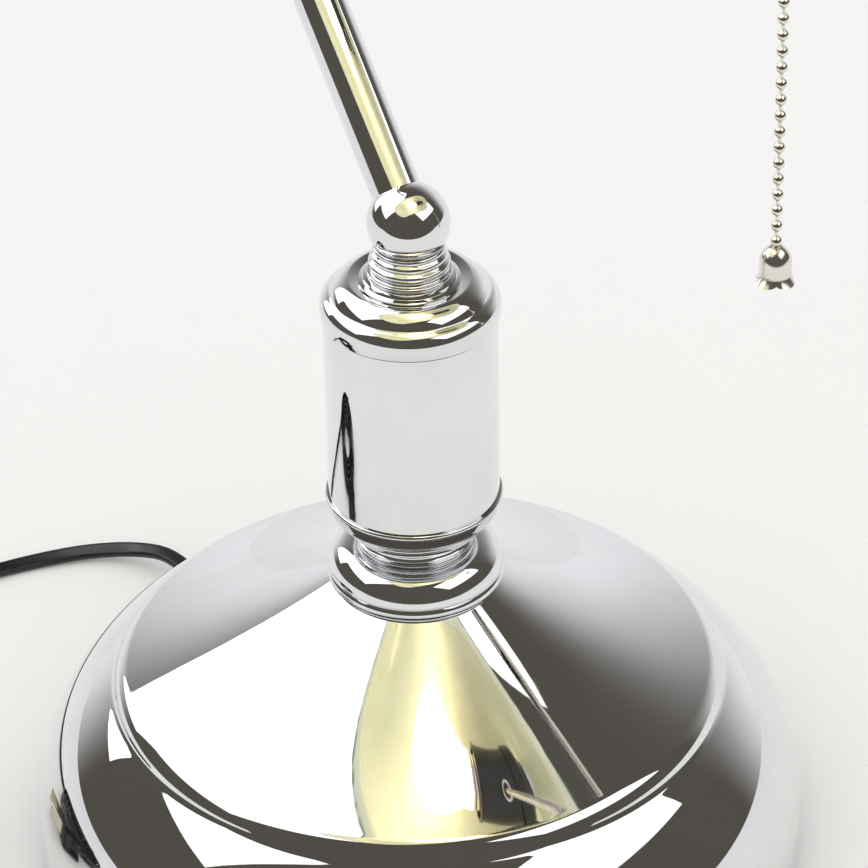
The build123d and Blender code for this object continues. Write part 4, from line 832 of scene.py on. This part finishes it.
def bead_string():
    """Radius along the chain: a circle's height at each bead, never less than the wire's, with a
    small rolled lip where the wire enters the bead."""
    phase = np.linspace(-0.5, 0.5, 40, endpoint=False)
    inside = np.sqrt(np.clip(BEAD_RADIUS**2 - (phase * BEAD_PITCH) ** 2, 0, None))
    lip = 0.2 * np.exp(-((np.abs(phase * BEAD_PITCH) - 1.42) / 0.12) ** 2)
    one = np.maximum(inside, 0.42) + lip
    height = first_bead + (np.arange(BEADS)[:, None] + phase[None]).ravel() * BEAD_PITCH
    radius = np.tile(one, BEADS)
    keep = height > BELL_BOTTOM + 8.2
    top = height[-1] + 0.3
    return np.stack([np.r_[0, radius[keep], 0.42, 0], np.r_[height[keep][0], height[keep], top, top]], 1)


turned("bead_chain", bead_string(), "chain", bright_nickel, ("pull_chain",),
       origin=on_chain, steps=32, closed=False, sharp=50.0)


def bell_grid():
    """Bell: a dome and skirt round the line, hollow underneath. Below the dome the wall leans out
    in four petals: its lean is the square of how far down it is, times a wave of four per turn."""
    outer = outline([
        line((0.0, BELL_HEIGHT), (1.4, BELL_HEIGHT)), bow((1.4, BELL_HEIGHT), (3.3, 7.5), (3.85, 5.1), 16),
        line((3.85, 5.1), (3.85, 2.3)), line((3.85, 2.3), (3.45, 1.9)),
        line((3.45, 1.9), (3.45, 0.0)),
    ], 0.25, closed=False)
    inner = outline([
        line((3.15, 0.0), (2.95, 2.5)), line((2.95, 2.5), (2.9, 5.5)),
        line((2.9, 5.5), (0.0, 7.4)),
    ], 0.25, closed=False)
    profile = np.concatenate([outer, inner])
    rows = [profile[:1]]
    for a, b in zip(profile, profile[1:]):
        count = max(1, int(np.hypot(*(b - a)) / 0.25))
        rows.append(a + np.linspace(0, 1, count + 1)[1:, None] * (b - a))
    profile = np.concatenate(rows)
    angle = np.linspace(0, 2 * np.pi, 96, endpoint=False)[None]
    down = np.clip((2.0 - profile[:, 1:]) / 2.0, 0, 1)
    petal = 0.35 + 0.65 * np.abs(np.cos(2 * (angle - PETAL_TURN))) ** 0.7
    radius = profile[:, :1] + down**1.2 * 1.5 * petal
    height = profile[:, 1:] + down * 1.1 * (1 - petal)
    grid = np.stack([radius * np.cos(angle), radius * np.sin(angle), height + 0 * angle], -1)
    return grid + np.array([CHAIN_X, -SHADE_FORWARD, BELL_BOTTOM])


skin("petal_bell", bell_grid(), "chain", satin_nickel, ("chain_bell",), along=False)

# Inner pieces keep their own shape and take a finish
for name, finish_name, material in (
    ("base_weight", "cast_weight", cast_weight),
    ("rod_washer", "zinc_steel", zinc_steel),
    ("rod_nut", "zinc_steel", zinc_steel),
    ("stem_rod", "zinc_steel", zinc_steel),
):
    dressed(name, "base", material)
dressed("swivel_stud", "arm", zinc_steel)


# Table and studio light
def sheet_of(name, corners, material):
    """Flat four-cornered stage piece, in metres."""
    mesh = bpy.data.meshes.new(name)
    mesh.from_pydata([tuple(float(v) for v in c) for c in corners], [], [(0, 1, 2, 3)])
    mesh.materials.append(material)
    piece = bpy.data.objects.new(name, mesh)
    scene.collection.objects.link(piece)
    return piece


table, table_tree, table_shader = begin_finish("white table")
table_place = node(table_tree, "ShaderNodeTexCoord").outputs["Object"]
table_noise = node(table_tree, "ShaderNodeTexNoise", {"Vector": table_place, "Scale": 3.0, "Detail": 2.0})
table_tree.links.new(
    mixed(table_tree, table_noise.outputs["Fac"], (0.885, 0.882, 0.875), (0.905, 0.902, 0.895)),
    table_shader.inputs["Base Color"])
table_shader.inputs["Roughness"].default_value = 0.7
table_shader.inputs["Specular IOR Level"].default_value = 0.2
TABLE_LEFT, TABLE_RIGHT, TABLE_NEAR, TABLE_FAR = -1.6, 2.2, -0.59, 2.6
table_edges = ((TABLE_LEFT, TABLE_NEAR), (TABLE_RIGHT, TABLE_NEAR), (TABLE_RIGHT, TABLE_FAR),
               (TABLE_LEFT, TABLE_FAR))
sheet_of("table_top", [from_picture(x, y) for x, y in table_edges], table)


def panel(name, centre, toward_point, width, height, power):
    """Soft box: a rectangular area light at a place given in the picture's axes, facing a point. It
    shows as a reflection only, and the room's even light does the rest."""
    data = bpy.data.lights.new(name, "AREA")
    data.shape = "RECTANGLE"
    data.size, data.size_y = width, height
    data.energy = power
    lamp = bpy.data.objects.new(name, data)
    lamp.visible_diffuse = False
    place = from_picture(*centre)
    facing = from_picture(*toward_point) - place
    facing /= np.linalg.norm(facing)
    across = np.cross([0, 0, 1.0], -facing)
    across /= np.linalg.norm(across)
    over = np.cross(-facing, across)
    lamp.matrix_world = Matrix([
        [across[i], over[i], -facing[i], place[i]] for i in range(3)] + [[0, 0, 0, 1]])
    scene.collection.objects.link(lamp)


# The two on the left make one tall reflection on the base's slope, with a low part at the back
panel("left soft box", (-0.322, 0.016, 0.704), (0.098, -0.104, 0.454), 0.55, 0.70, 1.75)
panel("left strip", (-0.288, 0.316, 0.617), (0.132, 0.196, 0.367), 0.25, 0.90, 1.02)
panel("right soft box", (0.62, -0.22, 0.80), (0.0, -0.03, 0.05), 0.85, 0.50, 1.87)

# World: an even light for matt surfaces, a pale backdrop for the camera, and for mirrors a dark room
# that grows pale towards the horizon at the back
world = bpy.data.worlds.new("studio")
scene.world = world
world.use_nodes = True
sky = world.node_tree
sky.nodes.clear()
way = node(sky, "ShaderNodeTexCoord").outputs["Generated"]
parts = node(sky, "ShaderNodeSeparateXYZ", {"Vector": way})
back_way = from_picture(0.1, 1.0)
back_way /= np.linalg.norm(back_way)
behind = node(sky, "ShaderNodeVectorMath", {0: way, 1: tuple(back_way)}, operation="DOT_PRODUCT")
paper = node(sky, "ShaderNodeMapRange", {
    "Value": behind.outputs["Value"], "From Min": 0.40, "From Max": 0.85}, interpolation_type="SMOOTHSTEP")
high = node(sky, "ShaderNodeMapRange", {
    "Value": parts.outputs["Z"], "From Min": 0.80, "From Max": 0.0}, interpolation_type="SMOOTHSTEP")
pale = node(sky, "ShaderNodeMath", {0: paper.outputs["Result"], 1: high.outputs["Result"]},
            operation="MULTIPLY")
room = mixed(sky, pale.outputs["Value"], (0.100, 0.089, 0.074), (0.92, 0.92, 0.925))
rays = node(sky, "ShaderNodeLightPath")
ambient = mixed(sky, rays.outputs["Is Glossy Ray"], (1.04, 1.04, 1.04), room)
seen = mixed(sky, rays.outputs["Is Camera Ray"], ambient, (0.90, 0.90, 0.89))
background = node(sky, "ShaderNodeBackground", {"Color": seen, "Strength": 1.0})
sky_output = sky.nodes.new("ShaderNodeOutputWorld")
sky.links.new(background.outputs["Background"], sky_output.inputs["Surface"])

scene.view_settings.view_transform = "Standard"
